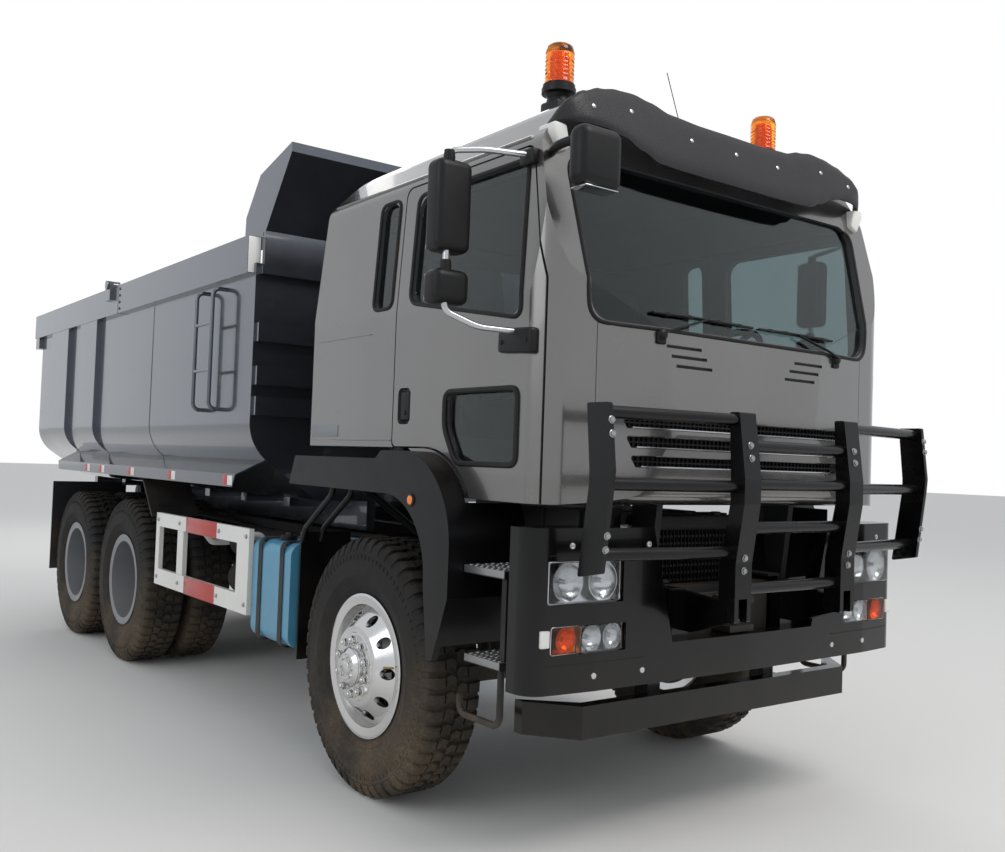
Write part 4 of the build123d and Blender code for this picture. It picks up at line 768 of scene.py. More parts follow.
tyrePlaces = []
for sideName, side in sides.items():
    tyrePlaces.append((f"tyreFront_{sideName}", f"front_tyre_{sideName}", 0.0, side * layout["frontTrack"]))
    for row, back in layout["rearAxles"].items():
        for label in ("outer", "inner"):
            tyrePlaces.append((f"tyre{label.title()}_{row}_{sideName}", f"{row}_tyres_{sideName}", back,
                               side * layout[f"{label}Track"]))
firstTyre = None
for name, node, forward, across in tyrePlaces:
    middle = Vector((forward, across, layout["wheelHeight"])) + truckOffset
    place = Matrix.Translation(middle) @ outwards(across)
    if firstTyre is None:
        firstTyre = makePiece(name, tyreShapes(), "tyre_rubber", node, smooth=28.0, replaces=[node],
                              offset=Vector())
        firstTyre.matrix_world = place
        continue
    copy = bpy.data.objects.new(name, firstTyre.data)
    bpy.context.scene.collection.objects.link(copy)
    copy.matrix_world = place
    settle(copy, node, [node])
print("tyres", len(tyrePlaces))


# wheel nuts, hub bolts, the flange's ring and the valve
wheelParts = {
    "nutCount": 10, "nut": (0.033, 0.024, 0.024, 0.01), "hubNut": (0.017, 0.009, 0.011),
    "frontRing": 0.1285, "frontFace": 0.175, "frontNose": 0.223, "frontBolts": (8, 0.052),
    "rearRing": 0.15, "rearFace": 0.02, "rearNose": 0.142, "rearBolts": (10, 0.078),
    # rows of radius and height
    "frontFlange": [(0.092, 0.172), (0.1, 0.179), (0.16, 0.179), (0.165, 0.172)],
    "rearFlange": [(0.122, 0.018), (0.126, 0.024), (0.178, 0.024), (0.182, 0.018)],
    "hubLip": [(0.0905, 0.196), (0.0925, 0.2), (0.0905, 0.204)],
    # height over the nose
    "frontCap": [(0.034, -0.002), (0.034, 0.006), (0.028, 0.01), (0, 0.01)],
    "rearCap": [(0.05, -0.002), (0.046, 0.012), (0, 0.014)],
    "valve": [(0.255, 0.03, 0.085), (0.248, 0.03, 0.118), (0.222, 0.03, 0.15)],
}


def ringOf(shape, count, radius, height, phase=0.0):
    out = Matrix.Translation((radius, 0, height))
    angles = [2 * math.pi * (step + phase) / count for step in range(count)]
    return [moved(shape, Matrix.Rotation(angle, 4, "Z") @ out) for angle in angles]


def hubShapes(end, nutLift):
    parts = wheelParts
    nose = parts[f"{end}Nose"]
    count, radius = parts[f"{end}Bolts"]
    shapes = ringOf(nutShape(*parts["nut"]), parts["nutCount"], parts[f"{end}Ring"],
                    parts[f"{end}Face"] + nutLift, 0.5)
    shapes.append(turnedShape(parts[f"{end}Flange"], 48))
    shapes.extend(ringOf(nutShape(*parts["hubNut"]), count, radius, nose))
    shapes.append(turnedShape([(radius, nose + lift) for radius, lift in parts[f"{end}Cap"]], 32))
    return shapes


frontHub = [*hubShapes("front", 0.004), turnedShape(wheelParts["hubLip"], 48)]
rearHub = hubShapes("rear", 0.002)
valve = tubeShape(wheelParts["valve"], 0.005, 8, 0.02)
for sideName, side in sides.items():
    place = Matrix.Translation((0, side * layout["frontTrack"], layout["wheelHeight"])) @ outwards(side)
    node = f"front_wheel_{sideName}"
    hub = [moved(shape, place) for shape in frontHub]
    makePiece(f"hubNuts_front_{sideName}", hub, "wheel_chrome", node)
    makePiece(f"valve_front_{sideName}", [moved(valve, place)], "brass", node)
    for row, back in layout["rearAxles"].items():
        place = Matrix.Translation((back, side * layout["rearHub"], layout["wheelHeight"])) @ outwards(side)
        hub = [moved(shape, place) for shape in rearHub]
        makePiece(f"hubNuts_{row}_{sideName}", hub, "wheel_grey", f"{row}_wheel_{sideName}")
print("wheel nuts and hubs")


# head lamps, lower lamps and rear lamps, which stand for the CAD lamps
lampSet = {
    "front": 1.337, "back": 1.2905, "lensThick": 0.006, "bowlDepth": 0.034,
    # name, inner y, outer y, lower z, upper z, lens, bowl places along y
    "rows": [
        ("head", 0.758, 1.127, 1.078, 1.237, "lamp_glass", (0.848, 1.03)),
        ("fog", 0.738, 0.958, 0.883, 0.987, "lamp_glass", (0.79, 0.9)),
        ("turn", 0.962, 1.107, 0.883, 0.987, "amber_lens", (1.034,)),
    ],
    "bulb": [(0.009, 0), (0.009, 0.016), (0.006, 0.022), (0, 0.023)],
    "marker": ((1.32, 1.338), (1.118, 1.16), (0.912, 0.978)),
    # inner y, outer y, lens
    "rearRows": [(0.724, 0.85, "red_lens"), (0.854, 0.98, "amber_lens"), (0.984, 1.106, "red_lens")],
    "rearLens": ((-6.072, -6.052), (0.856, 0.964)), "rearBowl": (0.044, 0.016, -6.04, 0.91),
    "rearBody": ((-6.052, -6.02), (0.72, 1.11), (0.85, 0.97)),
}


def bowl(radius, depth):
    rows = [(0, 0), (radius * 0.25, 0.001), (radius * 0.62, depth * 0.3), (radius * 0.86, depth * 0.66),
            (radius, depth), (radius * 1.05, depth), (radius * 1.05, depth - 0.004)]
    return turnedShape(rows, 36)


def makeFrontLamp(sideName, side, name, inner, outer, low, high, lens, bowls):
    back, front, middle = lampSet["back"], lampSet["front"], (low + high) / 2
    pane = boxShape((front - lampSet["lensThick"], front), (inner, outer), (low, high), 0.0026, 3)
    makeSided(f"lens_{name}_{sideName}", [pane], side, lens, "lamps", lens,
              replaces=["lamps"] if name == "head" else ())
    radius = min((high - low) * 0.46, (outer - inner) / len(bowls) * 0.47)
    inside = [boxShape((back, back + 0.004), (inner, outer), (low, high), 0.001, 1)]
    for y in bowls:
        inside.append(aimed(bowl(radius, lampSet["bowlDepth"]), (back + 0.004, y, middle), (1, 0, 0)))
        inside.append(turnedAt(lampSet["bulb"], 16, (back + 0.006, y, middle), (1, 0, 0)))
    rim = [(inner, low), (outer, low), (outer, high), (inner, high)]
    inside.append(tubeShape([(front - 0.008, y, z) for y, z in rim], 0.004, 8, 0.012, closed=True))
    makeSided(f"reflector_{name}_{sideName}", inside, side, "bright_trim", "lamps")


for sideName, side in sides.items():
    for row in lampSet["rows"]:
        makeFrontLamp(sideName, side, *row)
    marker = boxShape(*lampSet["marker"], 0.005, 3)
    makeSided(f"sideMarker_{sideName}", [marker], side, "guard_white", "bumper", "guard_white")
    rear = []
    for k, (low, high, lens) in enumerate(lampSet["rearRows"]):
        deep, tall = lampSet["rearLens"]
        slab = boxShape(deep, (low, high), tall, 0.004, 2)
        makeSided(f"rearLens{k}_{sideName}", [slab], side, lens, "lamps", "amber_lens")
        radius, depth, x, z = lampSet["rearBowl"]
        rear.append(aimed(bowl(radius, depth), (x, (low + high) / 2, z), (-1, 0, 0)))
    rear.append(boxShape(*lampSet["rearBody"], 0.004, 2))
    makeSided(f"rearLampBody_{sideName}", rear, side, "trim_black", "lamps", "trim_black")
print("lamps")


# rubber seals round the panes, laid on the cab's surface: outline, bend, radius
seals = {
    "screen": ([(-0.936, 2.19), (-0.976, 2.88), (0.976, 2.88), (0.936, 2.19)], 0.09, 0.009),
    "rear": ([(-0.338, 2.242), (-0.338, 2.788), (0.338, 2.788), (0.338, 2.242)], 0.06, 0.009),
    "quarter": ([(-0.083, 2.337), (-0.083, 2.868), (0.096, 2.868), (0.096, 2.337)], 0.05, 0.009),
    "window": ([(0.26, 2.343), (0.26, 2.856), (1.093, 2.856), (1.114, 2.196)], 0.06, 0.01),
    "kerb": ([(0.686, 1.602), (0.59, 1.757), (0.59, 1.915), (1.11, 1.915), (1.11, 1.602)], 0.045, 0.013),
}
sealStep = 0.05


def sealShape(key, node, lift):
    rows, bend, radius = seals[key]
    flat = roundedPath([(u, v, 0) for u, v in rows], bend, 6, closed=True)
    path = []
    for i, point in enumerate(flat):
        after = flat[(i + 1) % len(flat)]
        count = max(1, int((after - point).length / sealStep))
        for step in range(count):
            spot = point.lerp(after, step / count)
            path.append(lift(spot.x, spot.y, node))
    return tubeShape([place for place in path if place is not None], radius, 8, closed=True)


def fromFront(u, v, node):
    return touch(node, (lookFrom["front"], u, v), (-1, 0, 0))[0]


def fromBehind(u, v, node):
    return touch(node, (-lookFrom["front"], u, v), (1, 0, 0))[0]


def fromSide(side, u, v, node):
    return touch(node, (u, side * lookFrom["side"], v), (0, -side, 0))[0]


def makeSeal(name, key, node, lift):
    makePiece(name, [sealShape(key, node, lift)], "rubber_seal", node, "trim_black")


makeSeal("seal_screen", "screen", "cab_shell", fromFront)
makeSeal("seal_rear", "rear", "cab_shell", fromBehind)
for sideName, side in sides.items():
    door = f"door_{sideName}"
    for key, node in (("quarter", "cab_shell"), ("window", door), ("kerb", door)):
        makeSeal(f"seal_{key}_{sideName}", key, node, partial(fromSide, side))
print("seals")


# dark inserts with fins in the grille's slots and the louvres
grille = {
    # half width at the top and at the bottom, lower and upper z
    "slots": [(0.752, 0.725, 1.77, 1.822), (0.732, 0.7, 1.69, 1.742), (0.707, 0.675, 1.61, 1.662)],
    "louvres": [(0.322, 0.533, 2.118), (0.287, 0.503, 2.078), (0.252, 0.473, 2.038)],
    "fin": 0.0035, "finGap": 0.026, "finDepth": 0.013, "step": 0.05, "inset": 0.006, "play": 0.003,
}


def slotRibbon(low, high, z0, z1, thickness):
    count = max(3, int((high - low) / grille["step"]))
    rings = []
    for i in range(count + 1):
        y = low + (high - low) * i / count
        hit = fromFront(y, (z0 + z1) / 2, "front_panel")
        if hit is not None:
            rings.append((hit.x, y))
    points, faces = [], []
    for x, y in rings:
        corners = [(x, z0), (x + thickness, z0), (x + thickness, z1), (x, z1)]
        points.extend(Vector((forward, y, z)) for forward, z in corners)
    for i in range(len(rings) - 1):
        faces.extend(ringFaces(4 * i, 4 * (i + 1), 4))
    faces.extend([[0, 1, 2, 3], [len(points) - 4 + k for k in range(4)]])
    return points, faces


inserts = []
play = grille["play"]
for topHalf, lowHalf, z0, z1 in grille["slots"]:
    half, middle = (topHalf + lowHalf) / 2 - grille["inset"], (z0 + z1) / 2
    inserts.append(slotRibbon(-half, half, z0 + play, z1 - play, play))
    fins = int(2 * half / grille["finGap"])
    for k in range(1, fins):
        y = -half + 2 * half * k / fins
        x = fromFront(y, middle, "front_panel").x
        inserts.append(boxShape((x + 0.001, x + grille["finDepth"]),
                                (y - grille["fin"] / 2, y + grille["fin"] / 2), (z0 + 0.004, z1 - 0.004)))
    inserts.append(shifted(slotRibbon(-half, half, middle - play, middle + play, 0.006), 0.01))
for y0, y1, z in grille["louvres"]:
    for low, high in ((y0, y1), (-y1, -y0)):
        inserts.append(slotRibbon(low + play, high - play, z + 0.001, z + 0.013, 0.002))
makePiece("grilleInserts", inserts, "trim_black", "front_panel", "trim_black")
trims = []
for _, half, z0, _ in grille["slots"]:
    trims.append(shifted(slotRibbon(-half + 0.03, half - 0.03, z0 + 0.0035, z0 + 0.0085, 0.012), 0.012))
makePiece("grilleBars", trims, "bright_trim", "front_panel")
print("grille")


# door handles, panel seams, the roof's drip and the blank side plates
doorTrim = {
    "handle": ((0.206, 0.286), (1.108, 1.134), (1.792, 1.93)),
    "lock": [(0, 0), (0.012, 0), (0.012, 0.004), (0.009, 0.006), (0, 0.006)],
    "lockPlace": (0.246, 1.133, 1.83),
    # height, rear end, length, steps, lift, radius, flatness
    "seams": [(2.222, -0.64, 0.555, 12, 0.0005, 0.0045, 0.6), (1.7, -0.69, 0.825, 12, 0.0005, 0.0045, 0.6),
              (2.95, -0.6, 1.68, 30, 0.001, 0.01, 0.8)],
    "plateX": (-0.69, -0.396), "plateZ": (1.716, 1.776), "plateMiddle": (-0.543, 1.746),
}
for sideName, side in sides.items():
    node = f"door_{sideName}"
    handle = boxShape(*doorTrim["handle"], bevel=0.01, segments=4)
    lock = turnedAt(doorTrim["lock"], 20, doorTrim["lockPlace"], (0, 1, 0))
    makeSided(f"handle_{sideName}", [handle, lock], side, "trim_black", node, "trim_black")
    lines = []
    for z, start, length, count, lift, radius, flat in doorTrim["seams"]:
        path = [fromSide(side, start + length * k / count, z, "cab_shell") for k in range(count + 1)]
        path = [Vector((point.x, point.y + side * lift, point.z)) for point in path if point is not None]
        lines.append(tubeShape(path, radius, 8, flat=flat))
    makePiece(f"cabSeams_{sideName}", lines, "cab_paint", "cab_shell")
    wall = abs(fromSide(side, *doorTrim["plateMiddle"], "cab_shell").y)
    plate = boxShape(doorTrim["plateX"], (wall - 0.002, wall + 0.003), doorTrim["plateZ"], 0.002)
    makeSided(f"blankPlate_{sideName}", [plate], side, "wheel_grey", "cab_shell")
print("door trim")


# mirrors: a bright tube, two rounded heads with glass, and their mounts
mirrors = {
    "rootX": 1.105, "tube": 0.013, "inset": 0.016, "collar": 0.022,
    # elbow x and y, head x range, head y range, whether the glass faces inwards
    "rows": {"right": (1.01, 1.44, (0.93, 1.04), (1.335, 1.5), False),
             "left": (0.785, 1.192, (0.705, 0.865), (1.15, 1.245), True)},
    "heads": [(2.432, 2.8), (2.226, 2.365)],
    # the tube's y and z at the cab, and the heights of its corners
    "roots": [(1.112, 2.862), (1.128, 2.14)], "tubeZ": (2.855, 2.835, 2.2, 2.145),
    "knob": [(0, -0.03), (0.021, -0.03), (0.024, 0.0), (0.021, 0.03), (0, 0.03)],
    "upperMount": ((1.08, 1.135), (2.82, 2.885)),
    "lowerMount": [(-0.11, 2.06), (0.11, 2.046), (0.11, 2.15), (-0.085, 2.16), (-0.11, 2.14)],
}


def mirrorGlass(headX, headY, low, high, inwards):
    inset, thin = mirrors["inset"], 0.002
    across, along = (headX[0] + inset, headX[1] - inset), (headY[0] - thin, headY[0] + thin)
    if not inwards:
        across, along = (headX[0] - thin, headX[0] + thin), (headY[0] + inset, headY[1] - inset)
    return boxShape(across, along, (low + inset, high - inset), 0.0015)


for sideName, side in sides.items():
    elbowX, elbowY, headX, headY, inwards = mirrors["rows"][sideName]
    rootX, collar = mirrors["rootX"], mirrors["collar"]
    midX, midY = (rootX + elbowX) / 2, (1.132 + elbowY) / 2 + 0.02
    z = mirrors["tubeZ"]
    path = [(rootX, *mirrors["roots"][0]), (midX, midY, z[0]), (elbowX, elbowY, z[1]),
            (elbowX, elbowY, z[2]), (midX, midY, z[3]), (rootX, *mirrors["roots"][1])]
    tube = tubeShape(path, mirrors["tube"], 14, 0.035, steps=8)
    heads, glass = [], []
    for low, high in mirrors["heads"]:
        heads.append(boxShape(headX, headY, (low, high), 0.034, 6))
        middle = (low + high) / 2
        heads.append(turnedAt(mirrors["knob"], 20, (elbowX, elbowY, high + 0.004), (0, 0, 1)))
        heads.append(boxShape((elbowX - collar, elbowX + collar), (elbowY - collar, elbowY + collar),
                              (middle - 0.035, middle + 0.035), 0.006))
        glass.append(mirrorGlass(headX, headY, low, high, inwards))
    heads.append(boxShape((rootX - 0.045, rootX + 0.045), *mirrors["upperMount"], 0.012, 3))
    lower = [(rootX + x, z) for x, z in mirrors["lowerMount"]]
    heads.append(prismShape(lower, "y", 1.118, 1.165, 0.014, 4))
    for x in (rootX - 0.08, rootX + 0.08):
        heads.append(aimed(nutShape(0.016, 0.006, washer=0.011), (x, 1.164, 2.1), (0, 1, 0)))
    node = f"mirror_{sideName}"
    makeSided(f"mirrorTube_{sideName}", [tube], side, "bright_trim", node, replaces=[node])
    makeSided(f"mirrorHeads_{sideName}", heads, side, "trim_black", node, replaces=[node])
    makeSided(f"mirrorGlass_{sideName}", glass, side, "mirror_glass", node)
print("mirrors")


# the sun visor, curved in plan and leaning back, with its brackets and screws
visor = {
    # distance from the middle, top, bottom
    "edges": [
        (0.0, 3.164, 2.908), (0.2, 3.163, 2.908), (0.4, 3.172, 2.91), (0.52, 3.2, 2.915),
        (0.62, 3.214, 2.95), (0.72, 3.208, 2.992), (0.82, 3.188, 3.01), (0.92, 3.152, 3.01),
        (0.99, 3.108, 3.004), (1.035, 3.05, 2.998), (1.052, 3.002, 2.996),
    ],
    # distance from the middle, x
    "plan": [(0.0, 1.285), (0.4, 1.281), (0.7, 1.272), (0.9, 1.25), (0.98, 1.222), (1.04, 1.178),
             (1.075, 1.15)],
    "half": 1.052, "thick": 0.026, "columns": 96, "rows": 14, "rollBack": 0.008, "blend": 70,
    # x at a height, and how far it leans back for each metre up
    "lean": (1.29, 2.88, 0.3056),
    "screws": [(0.3, 3.07), (0.66, 3.12), (0.88, 3.09), (0.0, 3.07)],
    "screw": [(0.011, 0), (0.01, 0.003), (0.006, 0.005), (0, 0.0055)],
    # x, places and half width, z
    "bracket": ((1.06, 1.215), (-0.69, 0, 0.69), 0.012, (3.04, 3.105)),
    "corner": [(0.968, 2.905), (0.99, 2.996), (1.056, 3.0), (1.06, 2.958), (1.02, 2.88)],
}


def between(rows, value, column, eased=False):
    value = abs(value)
    for first, second in zip(rows, rows[1:]):
        if value <= second[0]:
            share = (value - first[0]) / (second[0] - first[0])
            if eased:
                share = share * share * (3 - 2 * share)
            return first[column] + (second[column] - first[column]) * share
    return rows[-1][column]


def visorX(y, z):
    start, height, slope = visor["lean"]
    blend = visor["blend"]
    leaning, plan = start - (z - height) * slope, between(visor["plan"], y, 1)
    return -math.log(math.exp(-blend * leaning) + math.exp(-blend * plan)) / blend


def visorShape():
    points, faces = [], []
    columns, rows, half = visor["columns"], visor["rows"], visor["half"]
    for i in range(columns + 1):
        y = -half + 2 * half * i / columns
        top, low = (between(visor["edges"], y, column, eased=True) for column in (1, 2))
        outside, inside = [], []
        for k in range(rows + 1):
            z = low + (top - low) * k / rows
            edge = abs(2 * k / rows - 1) ** 6
            outside.append((visorX(y, z) - visor["rollBack"] * edge, y, z))
            inside.append((visorX(y, z) - visor["rollBack"] - visor["thick"] * (1 - 0.55 * edge), y, z))
        points.extend(Vector(point) for point in outside + inside[::-1])
    size = 2 * (rows + 1)
    for i in range(columns):
        faces.extend(ringFaces(i * size, (i + 1) * size, size))
    faces.extend([list(range(size)), [columns * size + k for k in range(size)]])
    return points, faces


deep, places, half, tall = visor["bracket"]
brackets = [boxShape(deep, (y - half, y + half), tall, 0.003) for y in places]
makePiece("sunVisor", [visorShape(), *brackets], "visor_grey", "sun_visor", smooth=50,
          replaces=["sun_visor"])
screws = []
for y, z in visor["screws"]:
    for place in {(y, z), (-y, z)}:
        screws.append(turnedAt(visor["screw"], 16, (visorX(*place) - 0.001, *place), (1, 0, 0.3)))
makePiece("visorScrews", screws, "bright_trim", "sun_visor")
# corner pieces under the visor's ends; their white is a painted highlight of the sunlit cab panel there, in
# place of body colour
corner = prismShape(visor["corner"], "x", 1.085, 1.19, 0.01, 3)
for sideName, side in sides.items():
    makeSided(f"visorCornerHighlight_{sideName}", [corner], side, "guard_white", "cab_shell")
print("sun visor")


# beacons, front mirror, wipers and aerial, which stand for the CAD fittings
fittings = {
    "beacon": (0.799, 0.719, 3.29), "beaconFoot": (0.06, 0.19, 0.04),
    "beaconRing": [(0, -0.045), (0.058, -0.045), (0.052, -0.02), (0.06, -0.006), (0.079, 0.0),
                   (0.079, 0.022), (0.074, 0.026), (0.074, 0.04), (0.068, 0.044), (0, 0.044)],
    "lensRibs": 7, "lensRib": [(0.0668, 0), (0.0645, 0.004), (0.0645, 0.008), (0.0668, 0.012)],
    "lensTop": [(0.0655, 0.152), (0.06, 0.172), (0.048, 0.182), (0.028, 0.184), (0, 0.184)],
    "lamp": [(0, 0.0), (0.04, 0.0), (0.04, 0.01), (0.034, 0.016), (0.03, 0.13), (0.026, 0.146),
             (0, 0.15)],
    "mirrorArm": [(1.12, -1.03, 2.868), (1.26, -1.1, 2.875), (1.395, -1.02, 2.9)],
    "mirrorPad": ((1.1, 1.16), (-1.07, -1.0), (2.835, 2.9)),
    "mirrorHead": ((1.345, 1.448), (-1.128, -0.905), (2.682, 2.925)),
    "mirrorPane": ((1.35, 1.44), (-1.1, -0.93), (2.679, 2.684)),
    "aerialRod": [(0.918, -0.034, 3.235), (0.88, -0.11, 3.526)],
    "aerialFoot": [(0.93, -0.01, 3.15), (0.918, -0.034, 3.238)],
}


def beaconShapes(x, y, z):
    half, down, up = fittings["beaconFoot"]
    foot = boxShape((x - half, x + half), (y - half, y + half), (z - down, z - up), 0.012, 3)
    ring = shifted(turnedShape(fittings["beaconRing"], 40), x, y, z)
    lens = [(0, 0), (0.067, 0.0)]
    for rib in range(fittings["lensRibs"]):
        base = 0.014 + rib * 0.019
        lens.extend((radius, base + height) for radius, height in fittings["lensRib"])
    lens = turnedShape(lens + fittings["lensTop"], 48)
    lamp = turnedShape(fittings["lamp"], 24)
    return [foot, ring], shifted(lens, x, y, z + 0.0425), shifted(lamp, x, y, z + 0.044)


for sideName, side in sides.items():
    x, y, z = fittings["beacon"]
    foot, lens, lamp = beaconShapes(x, y * side, z)
    makePiece(f"beaconBase_{sideName}", foot, "trim_black", "cab_fittings",
              replaces=["cab_fittings"])
    makePiece(f"beaconLens_{sideName}", [lens], "amber_lens", "beacon_lenses",
              replaces=["beacon_lenses"])
    makePiece(f"beaconLamp_{sideName}", [lamp], "amber_solid", "beacon_lenses")

arm = tubeShape(fittings["mirrorArm"], 0.019, 14, 0.07, steps=8)
pad = boxShape(*fittings["mirrorPad"], 0.014, 3)
head = boxShape(*fittings["mirrorHead"], 0.046, 7)
makePiece("frontMirror", [arm, pad, head], "trim_black", "cab_fittings", smooth=60)
pane = boxShape(*fittings["mirrorPane"], 0.002)
makePiece("frontMirrorGlass", [pane], "mirror_glass", "cab_fittings")
aerial = [tubeShape(fittings["aerialRod"], 0.0022, 8), tubeShape(fittings["aerialFoot"], 0.0055, 10)]
makePiece("aerial", aerial, "trim_black", "cab_fittings")

wipers = {
    # pivot, inner end, outer end
    "rows": [(-0.567, -0.6, 0.04), (0.652, 0.09, 0.64)],
    "pivotZ": 2.165, "footZ": (2.128, 2.184), "bladeZ": 2.262, "bow": 0.004, "steps": 14,
    "clips": (2, 5, 9, 12),
    "cap": [(0, 0), (0.026, 0), (0.024, 0.016), (0.014, 0.026), (0, 0.027)],
}


def onPane(y, z, lift):
    hit = touch("cab_glass", (lookFrom["front"], y, z), (-1, 0, 0))[0]
    return Vector((hit.x + lift, y, z))


def wiperShapes(pivot, inner, outer):
    middle, steps, bladeZ = (inner + outer) / 2, wipers["steps"], wipers["bladeZ"]
    base = fromFront(pivot, wipers["pivotZ"], "front_panel") + Vector((0, 0, 0.004))
    foot = boxShape((base.x - 0.004, base.x + 0.012), (pivot - 0.026, pivot + 0.026),
                    wipers["footZ"], 0.008, 3)
    shapes = [turnedAt(wipers["cap"], 24, base, (1, 0, 0.15)), foot]
    elbow = Vector((base.x + 0.026, pivot + (middle - pivot) * 0.25, 2.2))
    arm = [base + Vector((0.02, 0, 0.006)), elbow, onPane(middle, bladeZ, 0.022)]
    shapes.append(tubeShape(arm, 0.0085, 10, 0.05, flat=0.6))
    spine, edge = [], []
    for k in range(steps + 1):
        bow = wipers["bow"] * math.sin(math.pi * k / steps)
        spine.append(onPane(inner + (outer - inner) * k / steps, bladeZ + bow, 0.014))
        edge.append(onPane(inner - 0.01 + (outer - inner + 0.02) * k / steps, bladeZ, 0.006))
    shapes.extend([tubeShape(spine, 0.0065, 8), tubeShape(edge, 0.0045, 6)])
    for k in wipers["clips"]:
        x, y, z = spine[k]
        shapes.append(boxShape((x - 0.012, x + 0.006), (y - 0.014, y + 0.014),
                               (z - 0.008, z + 0.008), 0.002))
    return shapes


for number, row in enumerate(wipers["rows"]):
    makePiece(f"wiper{number}", wiperShapes(*row), "trim_black", "cab_fittings", smooth=50)
print("cab fittings")


# radiator with its mesh, and dark sheets beside it: painted shade over the cab's lugs in the opening under
# the cab
cooling = {
    "x": 0.978, "depth": 0.06, "half": 0.398, "low": 0.8, "top": 1.395, "fins": 30, "tubes": 14,
    "plug": [(0, 0), (0.026, 0), (0.026, 0.012), (0.02, 0.016), (0, 0.017)], "plugY": 0.18,
    "frontShadeSheet": [(0.402, 1.285), (0.86, 1.285), (0.86, 1.425), (0.402, 1.425)],
    "sideShadeSheet": [(0.66, 1.0), (1.17, 1.1), (1.17, 1.43), (0.66, 1.43)],
    # count, first y, distance, width
    "slats": (5, 0.45, 0.085, 0.02), "slatX": (0.957, 0.964), "slatZ": (1.305, 1.405),
    "frontShadeSheetX": (0.95, 0.958), "sideShadeSheetY": (0.842, 0.848),
}


def radiatorShapes():
    x, deep, half, low, top = (cooling[key] for key in ("x", "depth", "half", "low", "top"))
    through = (x, x + deep)
    tanks = [boxShape(through, (-half, half), (top - 0.065, top), 0.014, 3),
             boxShape(through, (-half, half), (low, low + 0.055), 0.014, 3),
             boxShape(through, (-half, -half + 0.035), (low + 0.02, top - 0.02), 0.006),
             boxShape(through, (half - 0.035, half), (low + 0.02, top - 0.02), 0.006),
             turnedAt(cooling["plug"], 24, (x + 0.03, cooling["plugY"], top), (0, 0, 1))]
    tall = (low + 0.05, top - 0.06)
    core = [boxShape((x + 0.01, x + 0.02), (-half + 0.03, half - 0.03), tall)]
    wide = 2 * half - 0.07
    for k in range(cooling["fins"] + 1):
        y = -wide / 2 + wide * k / cooling["fins"]
        core.append(boxShape((x + 0.018, x + deep - 0.012), (y - 0.0016, y + 0.0016), tall))
    for k in range(cooling["tubes"] + 1):
        z = low + 0.055 + (top - low - 0.12) * k / cooling["tubes"]
        core.append(boxShape((x + 0.018, x + deep - 0.018), (-wide / 2, wide / 2), (z - 0.005, z + 0.005)))
    return tanks, core


tanks, core = radiatorShapes()
makePiece("radiatorTanks", tanks, "cast_black", "engine_block")
makePiece("radiatorCore", core, "chassis_black", "engine_block")
# the sheets and their slats are dark as painted shade in the opening under the cab
shadeSheet = [prismShape(cooling["frontShadeSheet"], "x", *cooling["frontShadeSheetX"], 0.002)]
count, start, apart, wide = cooling["slats"]
for k in range(count):
    y = start + apart * k
    slatY = (y, start + wide + apart * k)
    shadeSheet.append(boxShape(cooling["slatX"], slatY, cooling["slatZ"], 0.003))
shadeSheet.append(prismShape(cooling["sideShadeSheet"], "y", *cooling["sideShadeSheetY"], 0.002))
shadeSheets = [sided(shape, side) for side in (-1, 1) for shape in shadeSheet]
makePiece("bayShadeSheets", shadeSheets, "chassis_black", "chassis_frame")
print("radiator")


# bolts of the guard and the bumper, and the bumper's seams
front = {
    "postBolts": [(0.354, 1.045), (0.354, 1.235), (0.354, 1.69), (1.05, 1.33), (1.05, 1.76)],
    "pairLift": 0.026,
    "bumperBolts": [(0.64, 0.79), (0.9, 0.79), (1.02, 1.3), (0.62, 1.3)],
    "boltHead": [(0.013, 0), (0.012, 0.003), (0.007, 0.006), (0, 0.0065)],
    # heights, one end, length and steps
    "seams": (0.842, 1.262), "seamRun": (-1.13, 0.5, 12),
}


# copies of a shape where lines along a direction meet a node
def onNode(shape, node, starts, direction):
    hits = [touch(node, start, direction) for start in starts]
    return [aimed(shape, place, normal) for place, normal in hits if place is not None]


pair = (-front["pairLift"], front["pairLift"])
starts = [(lookFrom["farFront"], side * y, z + lift) for side in (-1, 1)
          for y, z in front["postBolts"] for lift in pair]
bolts = onNode(nutShape(0.021, 0.01, washer=0.015), "front_guard", starts, (-1, 0, 0))
makePiece("guardBolts", bolts, "hoist_steel", "front_guard")
starts = [(lookFrom["farFront"], side * y, z) for side in (-1, 1) for y, z in front["bumperBolts"]]
bolts = onNode(turnedShape(front["boltHead"], 18), "bumper", starts, (-1, 0, 0))
makePiece("bumperBolts", bolts, "bright_trim", "bumper")
seams = []
start, length, count = front["seamRun"]
for z in front["seams"]:
    spots = [(lookFrom["farFront"], start + length * k / count, z) for k in range(count + 1)]
    path = [touch("bumper", spot, (-1, 0, 0))[0] for spot in spots]
    path = [point + Vector((0.0003, 0, 0)) for point in path if point is not None]
    if len(path) > 3:
        seams.append(tubeShape(path, 0.0035, 6, flat=0.5))
makePiece("bumperSeams", bothSides(seams), "rubber_seal", "bumper")
print("bumper")


